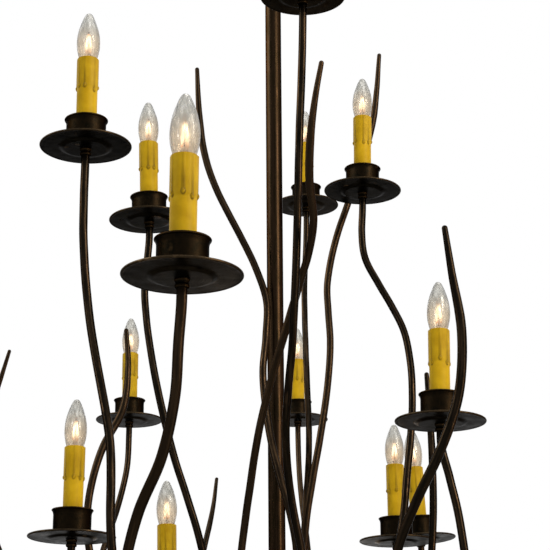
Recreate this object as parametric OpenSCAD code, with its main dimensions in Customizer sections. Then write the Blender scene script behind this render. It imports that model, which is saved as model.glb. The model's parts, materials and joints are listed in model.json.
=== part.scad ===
// Branch chandelier: bent steel rods rise from a turned hub on a hanging pole.
// Each lamp rod ends in a drip dish, a candle cup, a drip sleeve and a candle bulb.
// Millimetres, +Z up, origin where the mounting face meets the hanging axis.

/* [Hanging] */
// Height of the mounting face above the middle of the hub
drop = 1980; // [1750:10:2400]
// Outside diameter of the pole
pole_od = 26.7; // [26.7:0.1:27.6]
// Inside diameter of the pole
pole_id = 21; // [19:0.5:22]
// Thickness of the bar that the loop and the eye are made of
ring_wire_d = 8; // [7:0.5:9]
// Middle radius of the loop and of the eye
ring_r = 9.5; // [9.5:0.1:10]
// Thickness of the link's bar
link_wire_d = 7; // [6:0.5:8]
// Length of the link's straight sides
link_side = 22; // [18:1:40]

/* [Mounting plate] */
// Length of the crossbar
bar_len = 112; // [108:1:124]
// Width of the crossbar
bar_w = 24; // [20:1:30]
// Thickness of the crossbar
bar_t = 3; // [2:0.5:4]
// Distance between the two fixing holes
fix_pitch = 89; // [83:1:92]
// Diameter of each fixing hole
fix_hole_d = 5; // [4.5:0.1:6]
// Outside diameter of the threaded tubes
thread_tube_od = 13.2; // [12.7:0.1:14]
// Bore of the threaded tubes
thread_tube_id = 8; // [6:0.5:9]

/* [Canopy] */
// Outside diameter of the canopy
canopy_d = 150; // [136:1:190]
// Depth of the canopy
canopy_h = 46; // [44:1:60]
// Thickness of the canopy's sheet
canopy_t = 1.5; // [1:0.1:2.5]
// Outside diameter of the loop's threaded barrel
barrel_d = 28; // [28:0.5:30]
// Height of the ring that holds the canopy up
collar_h = 12; // [8:1:14]

/* [Hub] */
// Outside diameter of the hub's drum
hub_d = 96; // [92:1:120]
// Wall of the drum
hub_wall = 6; // [4:0.5:8]
// Distance between two rows of rod holes
row_pitch = 20; // [18:1:24]
// Thickness of the hub's cover
cover_t = 6; // [4:0.5:10]
// Length of the finial below the cover
finial_len = 84; // [70:1:110]

/* [Rods] */
// Diameter of the bent rods
rod_d = 11.5; // [10:0.1:12]
// Diameter of a twig at its tip
tip_d = 5.6; // [4:0.1:8]
// Length over which a twig gets thinner
taper_len = 110; // [60:5:160]
// Sides of a rod
rod_sides = 8; // [8:1:10]
// Distance between two rings of a rod
ring_step = 55; // [45:5:80]

/* [Candles] */
// Diameter of a drip dish
dish_d = 127; // [110:1:130]
// Thickness of a drip dish
dish_t = 1.2; // [0.8:0.1:2]
// Diameter of the step pressed into a dish
dish_step_d = 74; // [70:1:84]
// Height of the step pressed into a dish
dish_step_h = 2.6; // [1:0.1:3]
// Depth of a dish from its rim to its middle
dish_depth = 4; // [2:0.5:10]
// Diameter of a candle cup's wall
cup_d = 55; // [48:1:60]
// Diameter of a candle cup's flared lip
lip_d = 60.4; // [52:0.2:66]
// Height of a candle cup's lip above the dish's rim
cup_h = 38; // [30:1:50]
// Wall of a candle cup
cup_t = 1.2; // [0.8:0.1:2]
// Outside diameter of a candle sleeve
sleeve_d = 29; // [28:0.5:32]
// Wall of a candle sleeve
sleeve_t = 1.6; // [1:0.1:1.8]
// Height of a sleeve's top above the dish's rim
sleeve_top = 129.5; // [115:0.5:160]
// Largest diameter of a bulb
bulb_d = 32; // [29:0.5:36]
// Height of a bulb above the sleeve
bulb_rise = 71; // [60:1:80]
// Wall of a bulb's glass
glass_t = 0.8; // [0.5:0.1:1.2]

/* [Hidden] */
$fn = 64;
gap = 0.2;          // clearance between pieces that are fixed together
run_gap = 0.3;      // clearance between pieces that move on each other
bronze = "#2b1d12";
steel = "#8c8a86";
gold = "#d2a92e";

// ---- heights along the hanging axis ----
nut_h = 6;
canopy_z = -0.5;
canopy_bottom = canopy_z - canopy_h;
barrel_top = canopy_bottom + 8;
barrel_bottom = canopy_bottom - 20;
loop_z = barrel_bottom - ring_r;
loop_bar_z = loop_z - ring_r;
bar_seat = (ring_wire_d + link_wire_d) / 2 + run_gap;
link_r = 10;
link_top_z = loop_bar_z + bar_seat;
link_bar_z = link_top_z - 2 * link_r - link_side;
eye_bar_z = link_bar_z + bar_seat;
eye_z = eye_bar_z - ring_r;
eye_bottom = eye_z - ring_r;
pole_top = eye_bottom - 22;
hub_z = -drop;
hub_half = 2.3 * row_pitch;
pole_bottom = hub_half + 6;
nut_af = 19;
hub_top_h = 34;
cover_z = -hub_half - gap;
cover_nut_z = cover_z - cover_t - gap;
finial_top = cover_z - cover_t - gap;
rod_thread_len = finial_len * 0.32;

// ---- rods: places are relative to the middle of the hub ----
// A hub hole is [turn about Z, row], rows counted from the top.
// Then come points that the rod passes, set by hand, and for a lamp rod
// the middle of its dish's rim and the dish's lean towards +X and +Y in degrees.
ARMS = [
    [[270, 3], [[-15, -330, -30], [-90, -640, 50], [-165, -860, 230], [-146, -905, 304],
        [-117, -955, 359], [-103, -990, 410], [-98, -1012, 470]], [-95, -1020, 532], [0.6, 0]],
    [[210, 1], [[-105, -75, 140], [-95, -105, 300], [-120, -130, 424], [-152, -130, 524],
        [-180, -120, 635], [-195, -110, 715], [-204, -100, 800]], [-199, -96, 920], [-1.3, 0]],
    [[330, 1], [[95, -50, 160], [160, -75, 320], [191, -75, 440], [201, -70, 520],
        [213, -55, 640], [204, -35, 751], [167, -11, 837], [146, 0, 889]], [146, 5, 1004], [1.1, 0]],
    [[255, 2], [[-60, -220, 20], [-150, -430, 120], [-205, -540, 320], [-213, -525, 470],
        [-229, -500, 550], [-247, -480, 640], [-260, -472, 770]], [-260, -472, 895], [0, 0]],
    [[300, 1], [[72, -118, 160], [42, -152, 350], [18, -195, 480], [14, -232, 540],
        [24, -300, 655], [31, -345, 780], [36, -375, 930]], [44, -381, 1168], [0.4, 0]],
    [[90, 1], [[15, 110, 150], [35, 160, 330], [48, 240, 500], [59, 380, 665],
        [58, 480, 820], [57, 540, 1000]], [63, 559, 1180], [0, 0]],
    [[135, 2], [[-190, 200, 50], [-330, 400, 260], [-318, 480, 480], [-297, 525, 570],
        [-282, 545, 650]], [-280, 554, 746], [0, 0]],
    [[75, 2], [[60, 220, 20], [75, 480, 190], [66, 690, 460], [58, 800, 570],
        [49, 880, 680]], [46, 917, 828], [0, 0.5]],
    [[315, 2], [[170, -165, 20], [262, -312, 180], [253, -372, 330], [244, -369, 405],
        [236, -360, 450]],
        [227, -355, 530], [1, 0]],
    [[30, 1], [[130, 80, 60], [205, 150, 160], [225, 215, 290], [207, 245, 390]],
        [203, 249, 462], [0.1, 0]],
    [[45, 2], [[180, 190, 20], [275, 340, 130], [290, 415, 280], [268, 432, 410]],
        [258, 433, 495], [-3.1, 0]],
    [[150, 1], [[-130, 65, 50], [-185, 75, 120], [-182, 62, 220]], [-173, 57, 329], [-0.9, 0]],
    [[225, 2], [[-190, -165, 0], [-300, -235, 110], [-308, -235, 250]], [-293, -226, 395], [0.6, 0]],
    [[345, 2], [[182, -42, -2], [334, -70, 14], [471, -151, 118], [547, -150, 239],
        [621, -176, 416], [611, -155, 560]],
        [610, -150, 640], [0, 0.5]],
    [[15, 2], [[180, 58, 3], [289, 119, 18], [412, 186, 106], [472, 260, 193],
        [542, 297, 326], [548, 335, 445], [584, 327, 616], [563, 326, 741]],
        [560, 330, 820], [0.7, 0]],
    [[165, 2], [[-185, 42, 2], [-318, 50, 22], [-446, 96, 132], [-524, 77, 236],
        [-573, 108, 374], [-606, 89, 527], [-607, 87, 681]],
        [-600, 90, 760], [-0.5, 0.3]],
    [[300, 3], [[94, -161, -23], [177, -272, -32], [235, -415, -27], [331, -533, 6],
        [384, -655, 68], [476, -748, 144], [497, -827, 240], [560, -865, 370],
        [551, -870, 521]],
        [545, -870, 600], [0, -0.6]],
    [[330, 3], [[162, -90, -23], [301, -143, -41], [430, -245, -27], [575, -283, 24],
        [682, -354, 102], [817, -394, 216], [866, -452, 325], [909, -442, 472],
        [903, -447, 640]],
        [900, -450, 720], [0.8, 0]],
    [[0, 3], [[185, 3, -23], [316, 26, -35], [466, 11, -35], [621, 48, -13],
        [728, 42, 36], [876, 76, 112], [967, 63, 219], [1011, 95, 348], [1011, 86, 481]],
        [1010, 80, 560], [0, 0.4]],
    [[30, 3], [[161, 94, -23], [272, 181, -34], [439, 267, -29], [539, 361, 25],
        [655, 419, 87], [737, 517, 194], [814, 557, 329], [820, 595, 477],
        [829, 584, 620]],
        [830, 580, 700], [-0.5, 0]],
    [[150, 3], [[-161, 94, -22], [-289, 161, -29], [-396, 261, -33], [-520, 324, -8],
        [-616, 424, 67], [-715, 472, 138], [-782, 554, 278], [-830, 567, 409],
        [-826, 568, 540]],
        [-820, 570, 620], [0.6, 0]],
    [[180, 3], [[-185, 3, -24], [-353, 1, -42], [-479, 34, -35], [-653, 23, 12],
        [-766, 65, 87], [-884, 59, 204], [-950, 90, 299], [-1008, 81, 478],
        [-1015, 86, 611]],
        [-1010, 90, 690], [0, -0.5]],
    [[210, 3], [[-162, -92, -22], [-273, -164, -51], [-403, -200, -25], [-530, -298, -4],
        [-644, -321, 51], [-763, -410, 116], [-860, -430, 203], [-899, -470, 353],
        [-903, -469, 481]],
        [-900, -460, 560], [-0.6, 0]],
    [[240, 3], [[-95, -161, -23], [-167, -296, -50], [-253, -393, -24], [-315, -563, 16],
        [-408, -660, 89], [-450, -754, 189], [-515, -815, 298], [-522, -868, 426],
        [-537, -866, 581]],
        [-540, -860, 660], [0.5, 0]]
];
LEFT_TWIGS = [
    [[180, 1], [[-110, -25, 90], [-230, -75, 260], [-286, -92, 440], [-265, -85, 555],
        [-238, -70, 615], [-231, -62, 690], [-235, -60, 745]]],
    [[195, 4], [[-178, -59, -41], [-299, -126, -44], [-445, -170, 16], [-531, -254, 103],
        [-619, -270, 229], [-628, -315, 359], [-663, -320, 519], [-660, -322, 668],
        [-664, -352, 808], [-647, -336, 932]]]
];
RIGHT_TWIGS = [
    [[0, 1], [[120, -10, 80], [205, -40, 230], [235, -60, 400], [240, -60, 555],
        [236, -60, 670]]],
    [[345, 4], [[178, -57, -44], [320, -105, -61], [438, -173, -20], [556, -197, 72],
        [633, -261, 170], [707, -283, 316], [714, -312, 443], [733, -322, 595],
        [734, -304, 757], [697, -311, 892]]],
    [[60, 1], [[54, 92, 140], [40, 72, 300], [47, 50, 463], [70, 50, 593], [85, 55, 690],
        [90, 60, 762], [87, 70, 860], [103, 80, 943], [145, 90, 1067], [172, 90, 1166],
        [185, 90, 1285]]]
];
FRONT_TWIGS = [
    [[270, 1], [[2, -98, 140], [22, -110, 290], [29, -112, 391], [5, -90, 507], [-8, -74, 565],
        [-20, -52, 680], [-14, -35, 801], [-56, -20, 917], [-94, -8, 999], [-117, 0, 1075],
        [-124, 0, 1130], [-129, 0, 1220]]],
    [[240, 1], [[-56, -84, 140], [-62, -84, 300], [-53, -95, 395], [-40, -132, 480],
        [-24, -178, 565], [1, -230, 649], [35, -292, 748], [55, -385, 812], [49, -430, 862],
        [56, -482, 950], [66, -500, 1002]]],
    [[285, 4], [[90, -380, -60], [130, -620, 90], [140, -690, 300], [163, -712, 355],
        [186, -730, 400], [212, -742, 470], [218, -750, 545], [209, -750, 620],
        [203, -750, 672]]]
];
BACK_TWIGS = [
    [[105, 4], [[-110, 380, -50], [-170, 720, 130], [-172, 860, 430], [-149, 885, 554],
        [-133, 915, 639], [-126, 930, 702]]],
    [[120, 3], [[-96, 160, -22], [-186, 279, -33], [-271, 435, 6], [-372, 527, 83],
        [-440, 632, 187], [-509, 667, 318], [-520, 714, 450], [-568, 706, 603],
        [-575, 716, 778], [-538, 706, 922]]],
    [[15, 4], [[180, 54, -45], [319, 108, -50], [451, 109, 0], [573, 161, 83],
        [657, 141, 238], [687, 154, 380], [689, 125, 528], [720, 127, 692],
        [697, 140, 845], [694, 113, 973]]]
];
TWIGS = concat(LEFT_TWIGS, RIGHT_TWIGS, FRONT_TWIGS, BACK_TWIGS);

hub_or = hub_d / 2;
hub_ir = hub_or - hub_wall;
hole_start = hub_ir - 6;
hole_r = rod_d / 2 + gap + 0.05;
bend_start = hub_or + 14;

// ---- vectors ----
function unit(v) = v / norm(v);
function row_height(row) = (2.5 - row) * row_pitch;
function spoke(turn) = [cos(turn), sin(turn), 0];
function hole_point(hole, r) = r * spoke(hole[0]) + [0, 0, row_height(hole[1])];

// Direction of a candle that leans by two angles.
function candle_axis(lean) = unit([tan(lean[0]), tan(lean[1]), 1]);

// ---- one rod: a smooth curve through its points ----
arm_end = -dish_depth - dish_t - gap;
function arm_points(arm) = concat(
    [hole_point(arm[0], hole_start), hole_point(arm[0], bend_start)],
    arm[1],
    [arm[2] + candle_axis(arm[3]) * (arm_end - 25), arm[2] + candle_axis(arm[3]) * arm_end]);
function twig_points(twig) = concat(
    [hole_point(twig[0], hole_start), hole_point(twig[0], bend_start)], twig[1]);

// The direction at a point is a mean of the two stretches that meet there, and the
// shorter stretch weighs more.
function directions(p) = [for (i = [0:len(p) - 1])
    i == 0 ? unit(p[1] - p[0])
    : i == len(p) - 1 ? unit(p[i] - p[i - 1])
    : let (a = p[i] - p[i - 1], b = p[i + 1] - p[i])
        unit(a / pow(norm(a), 2) + b / pow(norm(b), 2))];

// Point and direction of the curve at a share t of the stretch from a to b.
function curve_at(a, b, da, db, t) = let (s = norm(b - a))
    a * (2 * t * t * t - 3 * t * t + 1) + da * s * (t * t * t - 2 * t * t + t)
    + b * (3 * t * t - 2 * t * t * t) + db * s * (t * t * t - t * t);
function slope_at(a, b, da, db, t) = let (s = norm(b - a))
    unit((b - a) * 6 * (t - t * t) / s + da * (3 * t * t - 4 * t + 1) + db * (3 * t * t - 2 * t));

// Rings along the curve: each is [middle, direction].
function rings(p, step) = let (d = directions(p), last = len(p) - 1) concat(
    [for (i = [0:last - 1])
        let (n = max(1, round(norm(p[i + 1] - p[i]) / step) + (i == 1 ? 1 : 0)))
        for (k = [0:n - 1]) [curve_at(p[i], p[i + 1], d[i], d[i + 1], k / n),
            slope_at(p[i], p[i + 1], d[i], d[i + 1], k / n)]],
    [[p[last], d[last]]]);

// A side vector that turns with the curve and never twists about it.
function sides(r) = [for (i = 0, u = unit(cross(r[0][1], [0, 0, 1])); i < len(r);
    i = i + 1, u = i < len(r) ? unit(u - r[i][1] * (u * r[i][1])) : u) u];

// Distance from each ring to the curve's end.
function to_end(r) = [for (i = len(r) - 1, s = 0; i >= 0;
    i = i - 1, s = i >= 0 ? s + norm(r[i + 1][0] - r[i][0]) : s) s];

// A tube of flat sides through the rings, with radii in step with them.
module swept(r, radii) {
    n = len(r);
    m = rod_sides;
    u = sides(r);
    points = [for (i = [0:n - 1]) for (k = [0:m - 1])
        let (a = 360 * k / m)
        r[i][0] + radii[i] * (cos(a) * u[i] + sin(a) * cross(r[i][1], u[i]))];
    walls = [for (i = [0:n - 2]) for (k = [0:m - 1])
        let (k2 = (k + 1) % m)
        each [[i * m + k, (i + 1) * m + k, (i + 1) * m + k2],
            [i * m + k, (i + 1) * m + k2, i * m + k2]]];
    ends = [[for (k = [0:m - 1]) k], [for (k = [m - 1:-1:0]) (n - 1) * m + k]];
    polyhedron(points, concat(walls, ends), convexity = 8);
}

module arm(number) {
    r = rings(arm_points(ARMS[number]), ring_step);
    color(bronze) translate([0, 0, hub_z]) swept(r, [for (ring = r) rod_d / 2]);
}

// The tip is rounded by two short rings past the last hand-set point.
module twig(twig) {
    p = twig_points(twig);
    r0 = rings(p, ring_step);
    last = r0[len(r0) - 1];
    r = concat(r0, [[last[0] + last[1] * 2, last[1]], [last[0] + last[1] * 3.2, last[1]]]);
    far = to_end(r0);
    n = len(r0);
    radii = concat(
        [for (i = [0:n - 1]) let (s = min(1, far[n - 1 - i] / taper_len))
            (tip_d + (rod_d - tip_d) * s) / 2],
        [tip_d * 0.38, tip_d * 0.15]);
    color(bronze) translate([0, 0, hub_z]) swept(r, radii);
}

module twigs(list) {
    for (t = list) twig(t);
}

// ---- hanging parts ----
function hex_r(flats) = flats / 2 / cos(30);

module hex_nut(flats, height, bore_r) {
    difference() {
        cylinder(r = hex_r(flats), h = height, $fn = 6);
        translate([0, 0, -1]) cylinder(r = bore_r, h = height + 2);
    }
}

module tube(outer_r, bore_r, from_z, to_z) {
    difference() {
        translate([0, 0, from_z]) cylinder(r = outer_r, h = to_z - from_z);
        translate([0, 0, from_z - 1]) cylinder(r = bore_r, h = to_z - from_z + 2);
    }
}

thread_r = thread_tube_od / 2;

module crossbar() {
    color(steel) difference() {
        translate([-bar_len / 2, -bar_w / 2, -bar_t]) cube([bar_len, bar_w, bar_t]);
        for (side = [-1, 1]) translate([side * fix_pitch / 2, 0, -bar_t - 1])
            cylinder(d = fix_hole_d, h = bar_t + 2);
        translate([0, 0, -bar_t - 1]) cylinder(r = thread_r + gap, h = bar_t + 2);
    }
}

module threaded_nipple() {
    color(steel) tube(thread_r, thread_tube_id / 2, canopy_bottom - 8, -0.5);
}

module nipple_locknut() {
    color(steel) translate([0, 0, -bar_t - gap - nut_h]) hex_nut(nut_af, nut_h, thread_r + gap);
}

canopy_hole_r = barrel_d / 2 + 0.5;

module canopy() {
    rim_r = canopy_d / 2;
    crown_h = canopy_h - 5;
    color(bronze) translate([0, 0, canopy_z]) rotate_extrude() polygon(concat(
        [[rim_r - canopy_t, 0], [rim_r, 0], [rim_r, -3.5], [rim_r - 2.5, -5]],
        [for (a = [6:7:90]) [canopy_hole_r + (rim_r - 4 - canopy_hole_r) * pow(cos(a), 0.8),
            -5 - crown_h * pow(sin(a), 1.25)]],
        [[canopy_hole_r, -canopy_h], [canopy_hole_r, -canopy_h + canopy_t]],
        [for (a = [90:-7:6]) [canopy_hole_r + 0.3 + (rim_r - 4 - canopy_t - canopy_hole_r) * pow(cos(a), 0.8),
            -5 + canopy_t - (crown_h) * pow(sin(a), 1.25)]],
        [[rim_r - canopy_t - 2, -3], [rim_r - canopy_t, -2]]));
}

module collar_ring() {
    outer = barrel_d / 2 + 5;
    color(bronze) translate([0, 0, canopy_bottom - run_gap - collar_h]) difference() {
        rotate_extrude() polygon([[0, 0], [outer - 3, 0], [outer - 1, 1.5], [outer - 1, 3],
            [outer, 4], [outer, collar_h - 4], [outer - 1, collar_h - 3],
            [outer - 1, collar_h - 1], [outer - 2, collar_h], [0, collar_h]]);
        translate([0, 0, -1]) cylinder(r = barrel_d / 2 + run_gap, h = collar_h + 2);
    }
}

module screw_loop() {
    color(bronze) {
        difference() {
            translate([0, 0, barrel_bottom])
                cylinder(d = barrel_d, h = barrel_top - barrel_bottom);
            translate([0, 0, canopy_bottom - 9])
                cylinder(r = thread_r + gap, h = barrel_top - canopy_bottom + 10);
        }
        translate([0, 0, loop_z]) rotate([0, 90, 0]) rotate_extrude()
            translate([ring_r, 0]) circle(d = ring_wire_d);
    }
}

module link() {
    steps = 10;
    arc = [for (i = [0:steps]) 180 * i / steps];
    upper = [for (a = arc) [[link_r * cos(a), 0, link_top_z - link_r + link_r * sin(a)],
        [-sin(a), 0, cos(a)]]];
    lower = [for (a = arc) [[-link_r * cos(a), 0, link_bar_z + link_r - link_r * sin(a)],
        [sin(a), 0, -cos(a)]]];
    r = concat(upper, lower);
    n = len(r);
    m = 12;
    points = [for (ring = r) for (k = [0:m - 1])
        let (a = 360 * (k + 0.5) / m, out = cross(ring[1], [0, 1, 0]))
        ring[0] + link_wire_d / 2 * (cos(a) * out + [0, sin(a), 0])];
    walls = [for (i = [0:n - 1]) for (k = [0:m - 1])
        let (j = (i + 1) % n, k2 = (k + 1) % m)
        each [[i * m + k, j * m + k2, j * m + k], [i * m + k, i * m + k2, j * m + k2]]];
    color(bronze) polyhedron(points, walls, convexity = 6);
}

module pole_eye() {
    cap_r = pole_od / 2;
    plug_r = pole_id / 2 - gap;
    color(bronze) {
        translate([0, 0, eye_z]) rotate([0, 90, 0]) rotate_extrude()
            translate([ring_r, 0]) circle(d = ring_wire_d);
        translate([0, 0, pole_top]) rotate_extrude() polygon([[0, -24], [plug_r - 1, -24],
            [plug_r, -23], [plug_r, gap], [cap_r, gap], [cap_r, 4], [cap_r - 3, 8],
            [8, 11], [6, 15], [6, 22], [0, 22]]);
    }
}

module pole() {
    color(bronze) tube(pole_od / 2, pole_id / 2, hub_z + pole_bottom, pole_top);
}

// ---- hub ----
module pole_bushing() {
    color(steel) translate([0, 0, hub_z])
        tube(pole_id / 2 - gap, thread_r + gap, pole_bottom + 2, pole_bottom + 40);
}

module centre_rod() {
    color(steel) translate([0, 0, hub_z])
        tube(thread_r, thread_tube_id / 2, finial_top - nut_h - rod_thread_len, pole_bottom + 44);
}

module hub_top() {
    neck = pole_od / 2 + 5;
    color(bronze) translate([0, 0, hub_z + hub_half + gap]) difference() {
        rotate_extrude() polygon(concat([[0, 0], [hub_or + 2, 0], [hub_or + 2, 3], [hub_or, 5]],
            [for (a = [0:10:90]) [neck + (hub_or - 2 - neck) * (1 - sin(a)), 6 + 16 * (1 - cos(a))]],
            [[neck, 26], [neck + 2, 27.5], [neck + 2, 30], [neck, 31.5], [neck - 1.5, hub_top_h],
            [0, hub_top_h]]));
        translate([0, 0, -1]) cylinder(r = pole_od / 2 + gap, h = hub_top_h + 2);
        for (turn = [0, 180]) rotate([0, 90, turn]) translate([-28.7, 0, pole_od / 2 - 2])
            cylinder(d = 5, h = neck);
    }
}

module set_screws() {
    reach = pole_od / 2 + gap;
    color(steel) for (turn = [0, 180]) translate([0, 0, hub_z + hub_half + gap + 28.7])
        rotate([0, 90, turn]) translate([0, 0, reach]) difference() {
            cylinder(d = 4.6, h = 9);
            translate([0, 0, 7]) cylinder(r = hex_r(2.5), h = 3, $fn = 6);
        }
}

module hub_body() {
    color(bronze) translate([0, 0, hub_z]) difference() {
        rotate_extrude() polygon([[hub_ir, -hub_half], [hub_or + 1.5, -hub_half],
            [hub_or + 1.5, -hub_half + 3], [hub_or, -hub_half + 4.5], [hub_or, hub_half - 4.5],
            [hub_or + 1.5, hub_half - 3], [hub_or + 1.5, hub_half], [hub_ir, hub_half]]);
        for (rod = concat(ARMS, TWIGS)) translate([0, 0, row_height(rod[0][1])])
            rotate([0, 90, rod[0][0]]) translate([0, 0, hub_ir - 4])
                cylinder(r = hole_r, h = hub_wall + 8, $fn = 32);
    }
}

module hub_cover() {
    color(bronze) translate([0, 0, hub_z + cover_z]) difference() {
        translate([0, 0, -cover_t]) rotate_extrude() polygon([[0, 0], [26, 0],
            [28, 1], [hub_or - 4, cover_t * 0.5], [hub_or + 2, cover_t * 0.6],
            [hub_or + 3, cover_t * 0.8], [hub_or + 2, cover_t], [0, cover_t]]);
        translate([0, 0, -cover_t - 1]) cylinder(r = thread_r + gap, h = cover_t + 2);
    }
}

module cover_nut() {
    color(steel) translate([0, 0, hub_z + cover_nut_z - nut_h])
        hex_nut(nut_af, nut_h, thread_r + gap);
}

module finial() {
    color(bronze) translate([0, 0, hub_z + finial_top - gap]) difference() {
        rotate_extrude() polygon(concat([[0, 0], [20, 0], [21, -2], [20, -4], [15, -9], [11, -14],
            [10.5, -18], [13, -20], [13, -23], [11, -25]],
            [for (a = [65:-10:-65]) [3 + 17 * cos(a), -(finial_len * 0.5) + 17.5 * sin(a)]],
            [[9, -finial_len * 0.72], [7, -finial_len * 0.78], [8.5, -finial_len * 0.82],
            [8.5, -finial_len * 0.86], [6, -finial_len * 0.92], [3, -finial_len * 0.98],
            [0, -finial_len]]));
        translate([0, 0, -nut_h - 1]) cylinder(r = hex_r(nut_af) + run_gap, h = nut_h + 2);
        translate([0, 0, -nut_h - rod_thread_len - 2])
            cylinder(r = thread_r + run_gap, h = nut_h + rod_thread_len + 3);
    }
}

// ---- candles: each piece is drawn upright with the dish's rim at z = 0 ----
module on_candles() {
    for (a = ARMS) {
        axis = candle_axis(a[3]);
        translate(a[2] + [0, 0, hub_z])
            rotate([0, acos(axis[2]), atan2(axis[1], axis[0])]) children();
    }
}

dish_r = dish_d / 2;
stem_r = 5;              // threaded stem that holds the stack together
stem_top = 8;
cup_floor = -dish_depth + gap + cup_t;
nut_top = cup_floor + gap + 4;
socket_r = 9.5;
base_r = 5.95;           // screw base of the bulb
base_len = 20;
base_top = sleeve_top - 23;
glass_r = bulb_d / 2;
neck_r = sleeve_d / 2 - sleeve_t - 3.6;     // the bulb's glass at the sleeve's mouth

module drip_dish() {
    step_r = dish_step_d / 2;
    slope_r = step_r - 6;
    floor_z = -dish_depth;
    shelf_z = floor_z + dish_step_h;
    rim_in = dish_r - 1.6;
    difference() {
        rotate_extrude() {
            polygon([[0, floor_z - dish_t], [slope_r, floor_z - dish_t],
                [step_r, shelf_z - dish_t], [dish_r - 16, shelf_z - dish_t],
                [rim_in, -dish_t - 0.9], [dish_r - 0.8, -1.6], [rim_in, 0],
                [dish_r - 16, shelf_z], [step_r - 0.6, shelf_z],
                [slope_r - 0.6, floor_z], [0, floor_z]]);
            translate([rim_in, -1]) circle(r = 1.6, $fn = 24);
        }
        translate([0, 0, floor_z - dish_t - 1]) cylinder(r = stem_r + gap, h = dish_t + 2);
    }
}

module drip_dishes() {
    color(bronze) on_candles() drip_dish();
}

module arm_collars() {
    bore = rod_d / 2 + gap;
    color(bronze) on_candles() translate([0, 0, -dish_depth - dish_t - gap]) difference() {
        rotate_extrude() polygon([[0, -10], [bore + 1, -10], [bore + 1.9, -9], [bore + 1.9, -6.5],
            [bore + 1, -5.5], [bore + 1, -3.5], [bore + 2.2, -2], [bore + 2.2, 0], [0, 0]]);
        translate([0, 0, -11]) cylinder(r = bore, h = 12);
    }
}

module candle_stems() {
    color(steel) on_candles() tube(stem_r, 3, arm_end + gap, stem_top);
}

module candle_cups() {
    r = cup_d / 2;
    lip = lip_d / 2;
    z = -dish_depth + gap;
    color(bronze) on_candles() difference() {
        rotate_extrude() polygon([[0, z], [r - 7, z], [r - 3.5, z + 1.5], [r - 1, z + 4],
            [r, z + 8], [r, cup_h - 7], [r + (lip - r) * 0.45, cup_h - 3], [lip - 0.6, cup_h - 1.6],
            [lip, cup_h - 0.8], [lip - 0.6, cup_h], [lip - 1.8, cup_h - 0.4],
            [r + (lip - r) * 0.3 - cup_t, cup_h - 2.6], [r - cup_t, cup_h - 7], [r - cup_t, z + 8],
            [r - 2, z + 5], [r - 4.4, z + 2.8], [r - 7.4, z + cup_t], [0, z + cup_t]]);
        translate([0, 0, z - 1]) cylinder(r = stem_r + gap, h = cup_t + 2);
    }
}

module cup_nuts() {
    color(steel) on_candles() translate([0, 0, cup_floor + gap]) hex_nut(14, 4, stem_r + gap);
}

module socket_brackets() {
    foot = nut_top + gap;
    color(steel) on_candles() {
        tube(socket_r, stem_r + gap, foot, foot + 1.2);
        translate([socket_r - 1.2, -4, foot]) cube([1.2, 8, base_top - base_len - foot]);
    }
}

module socket_shells() {
    low = base_top - base_len - 6;
    color("#1d1b1a") on_candles() difference() {
        translate([0, 0, low]) cylinder(r = socket_r, h = base_top - low);
        translate([0, 0, base_top - base_len - 0.5]) cylinder(r = base_r + gap, h = base_len + 2);
        translate([socket_r - 1.4, -4.2, low - 1]) cube([3, 8.4, 7.2]);
    }
}

// A run of wax ends in a drop at each of these heights below the sleeve's top.
DRIPS = [47, 52, 45, 55, 49, 44, 53];

module candle_sleeves() {
    r = sleeve_d / 2;
    low = cup_floor + gap;
    color(gold) on_candles() difference() {
        union() {
            translate([0, 0, low]) cylinder(r = r, h = sleeve_top - low);
            for (i = [0:len(DRIPS) - 1]) rotate(360 * i / len(DRIPS) - 90)
                translate([r, 0, sleeve_top - DRIPS[i]]) {
                    translate([0, 0, -1.8]) cylinder(r = 0.8, h = 3.6);
                    translate([0, 0, -1.3]) cylinder(r = 1.3, h = 2.6);
                    translate([-0.5, 0, 0]) cylinder(r = 1, h = DRIPS[i] - 1);
                }
        }
        translate([0, 0, low - 1]) cylinder(r = r - sleeve_t, h = sleeve_top - low + 2);
    }
}

// Radius of the bulb's glass at a share s of its height: it is widest at a share of wide,
// and its neck passes neck_r at the sleeve's mouth.
glass_h = sleeve_top + bulb_rise - base_top;
wide = 0.55;
neck_power = ln((neck_r - base_r) / (glass_r - base_r))
    / ln(sin(90 * (sleeve_top - base_top) / glass_h / wide));
function glass_at(s) = s < wide
    ? base_r + (glass_r - base_r) * pow(sin(90 * s / wide), neck_power)
    : glass_r * pow(cos(90 * (s - wide) / (1 - wide)), 0.85);

module bulb_glasses() {
    n = 18;
    outer = [for (i = [0:n - 1]) [glass_at(i / n), base_top + gap + glass_h * i / n]];
    tip = [[1.6, base_top + glass_h - 0.8], [0, base_top + glass_h]];
    inner = [for (i = [n - 1:-1:0]) [glass_at(i / n) - glass_t, base_top + gap
        + (glass_h - glass_t) * i / n]];
    color("#fff3da", 0.35) on_candles() rotate_extrude() polygon(concat(outer, tip,
        [[0, base_top + glass_h - glass_t - 0.4]], inner));
}

module bulb_bases() {
    color("#c9a04a") on_candles() {
        translate([0, 0, base_top - base_len]) cylinder(r1 = 2.5, r2 = base_r - 0.6, h = 3);
        translate([0, 0, base_top - base_len + 2.9]) cylinder(r = base_r, h = base_len - 2.9);
    }
}

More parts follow.
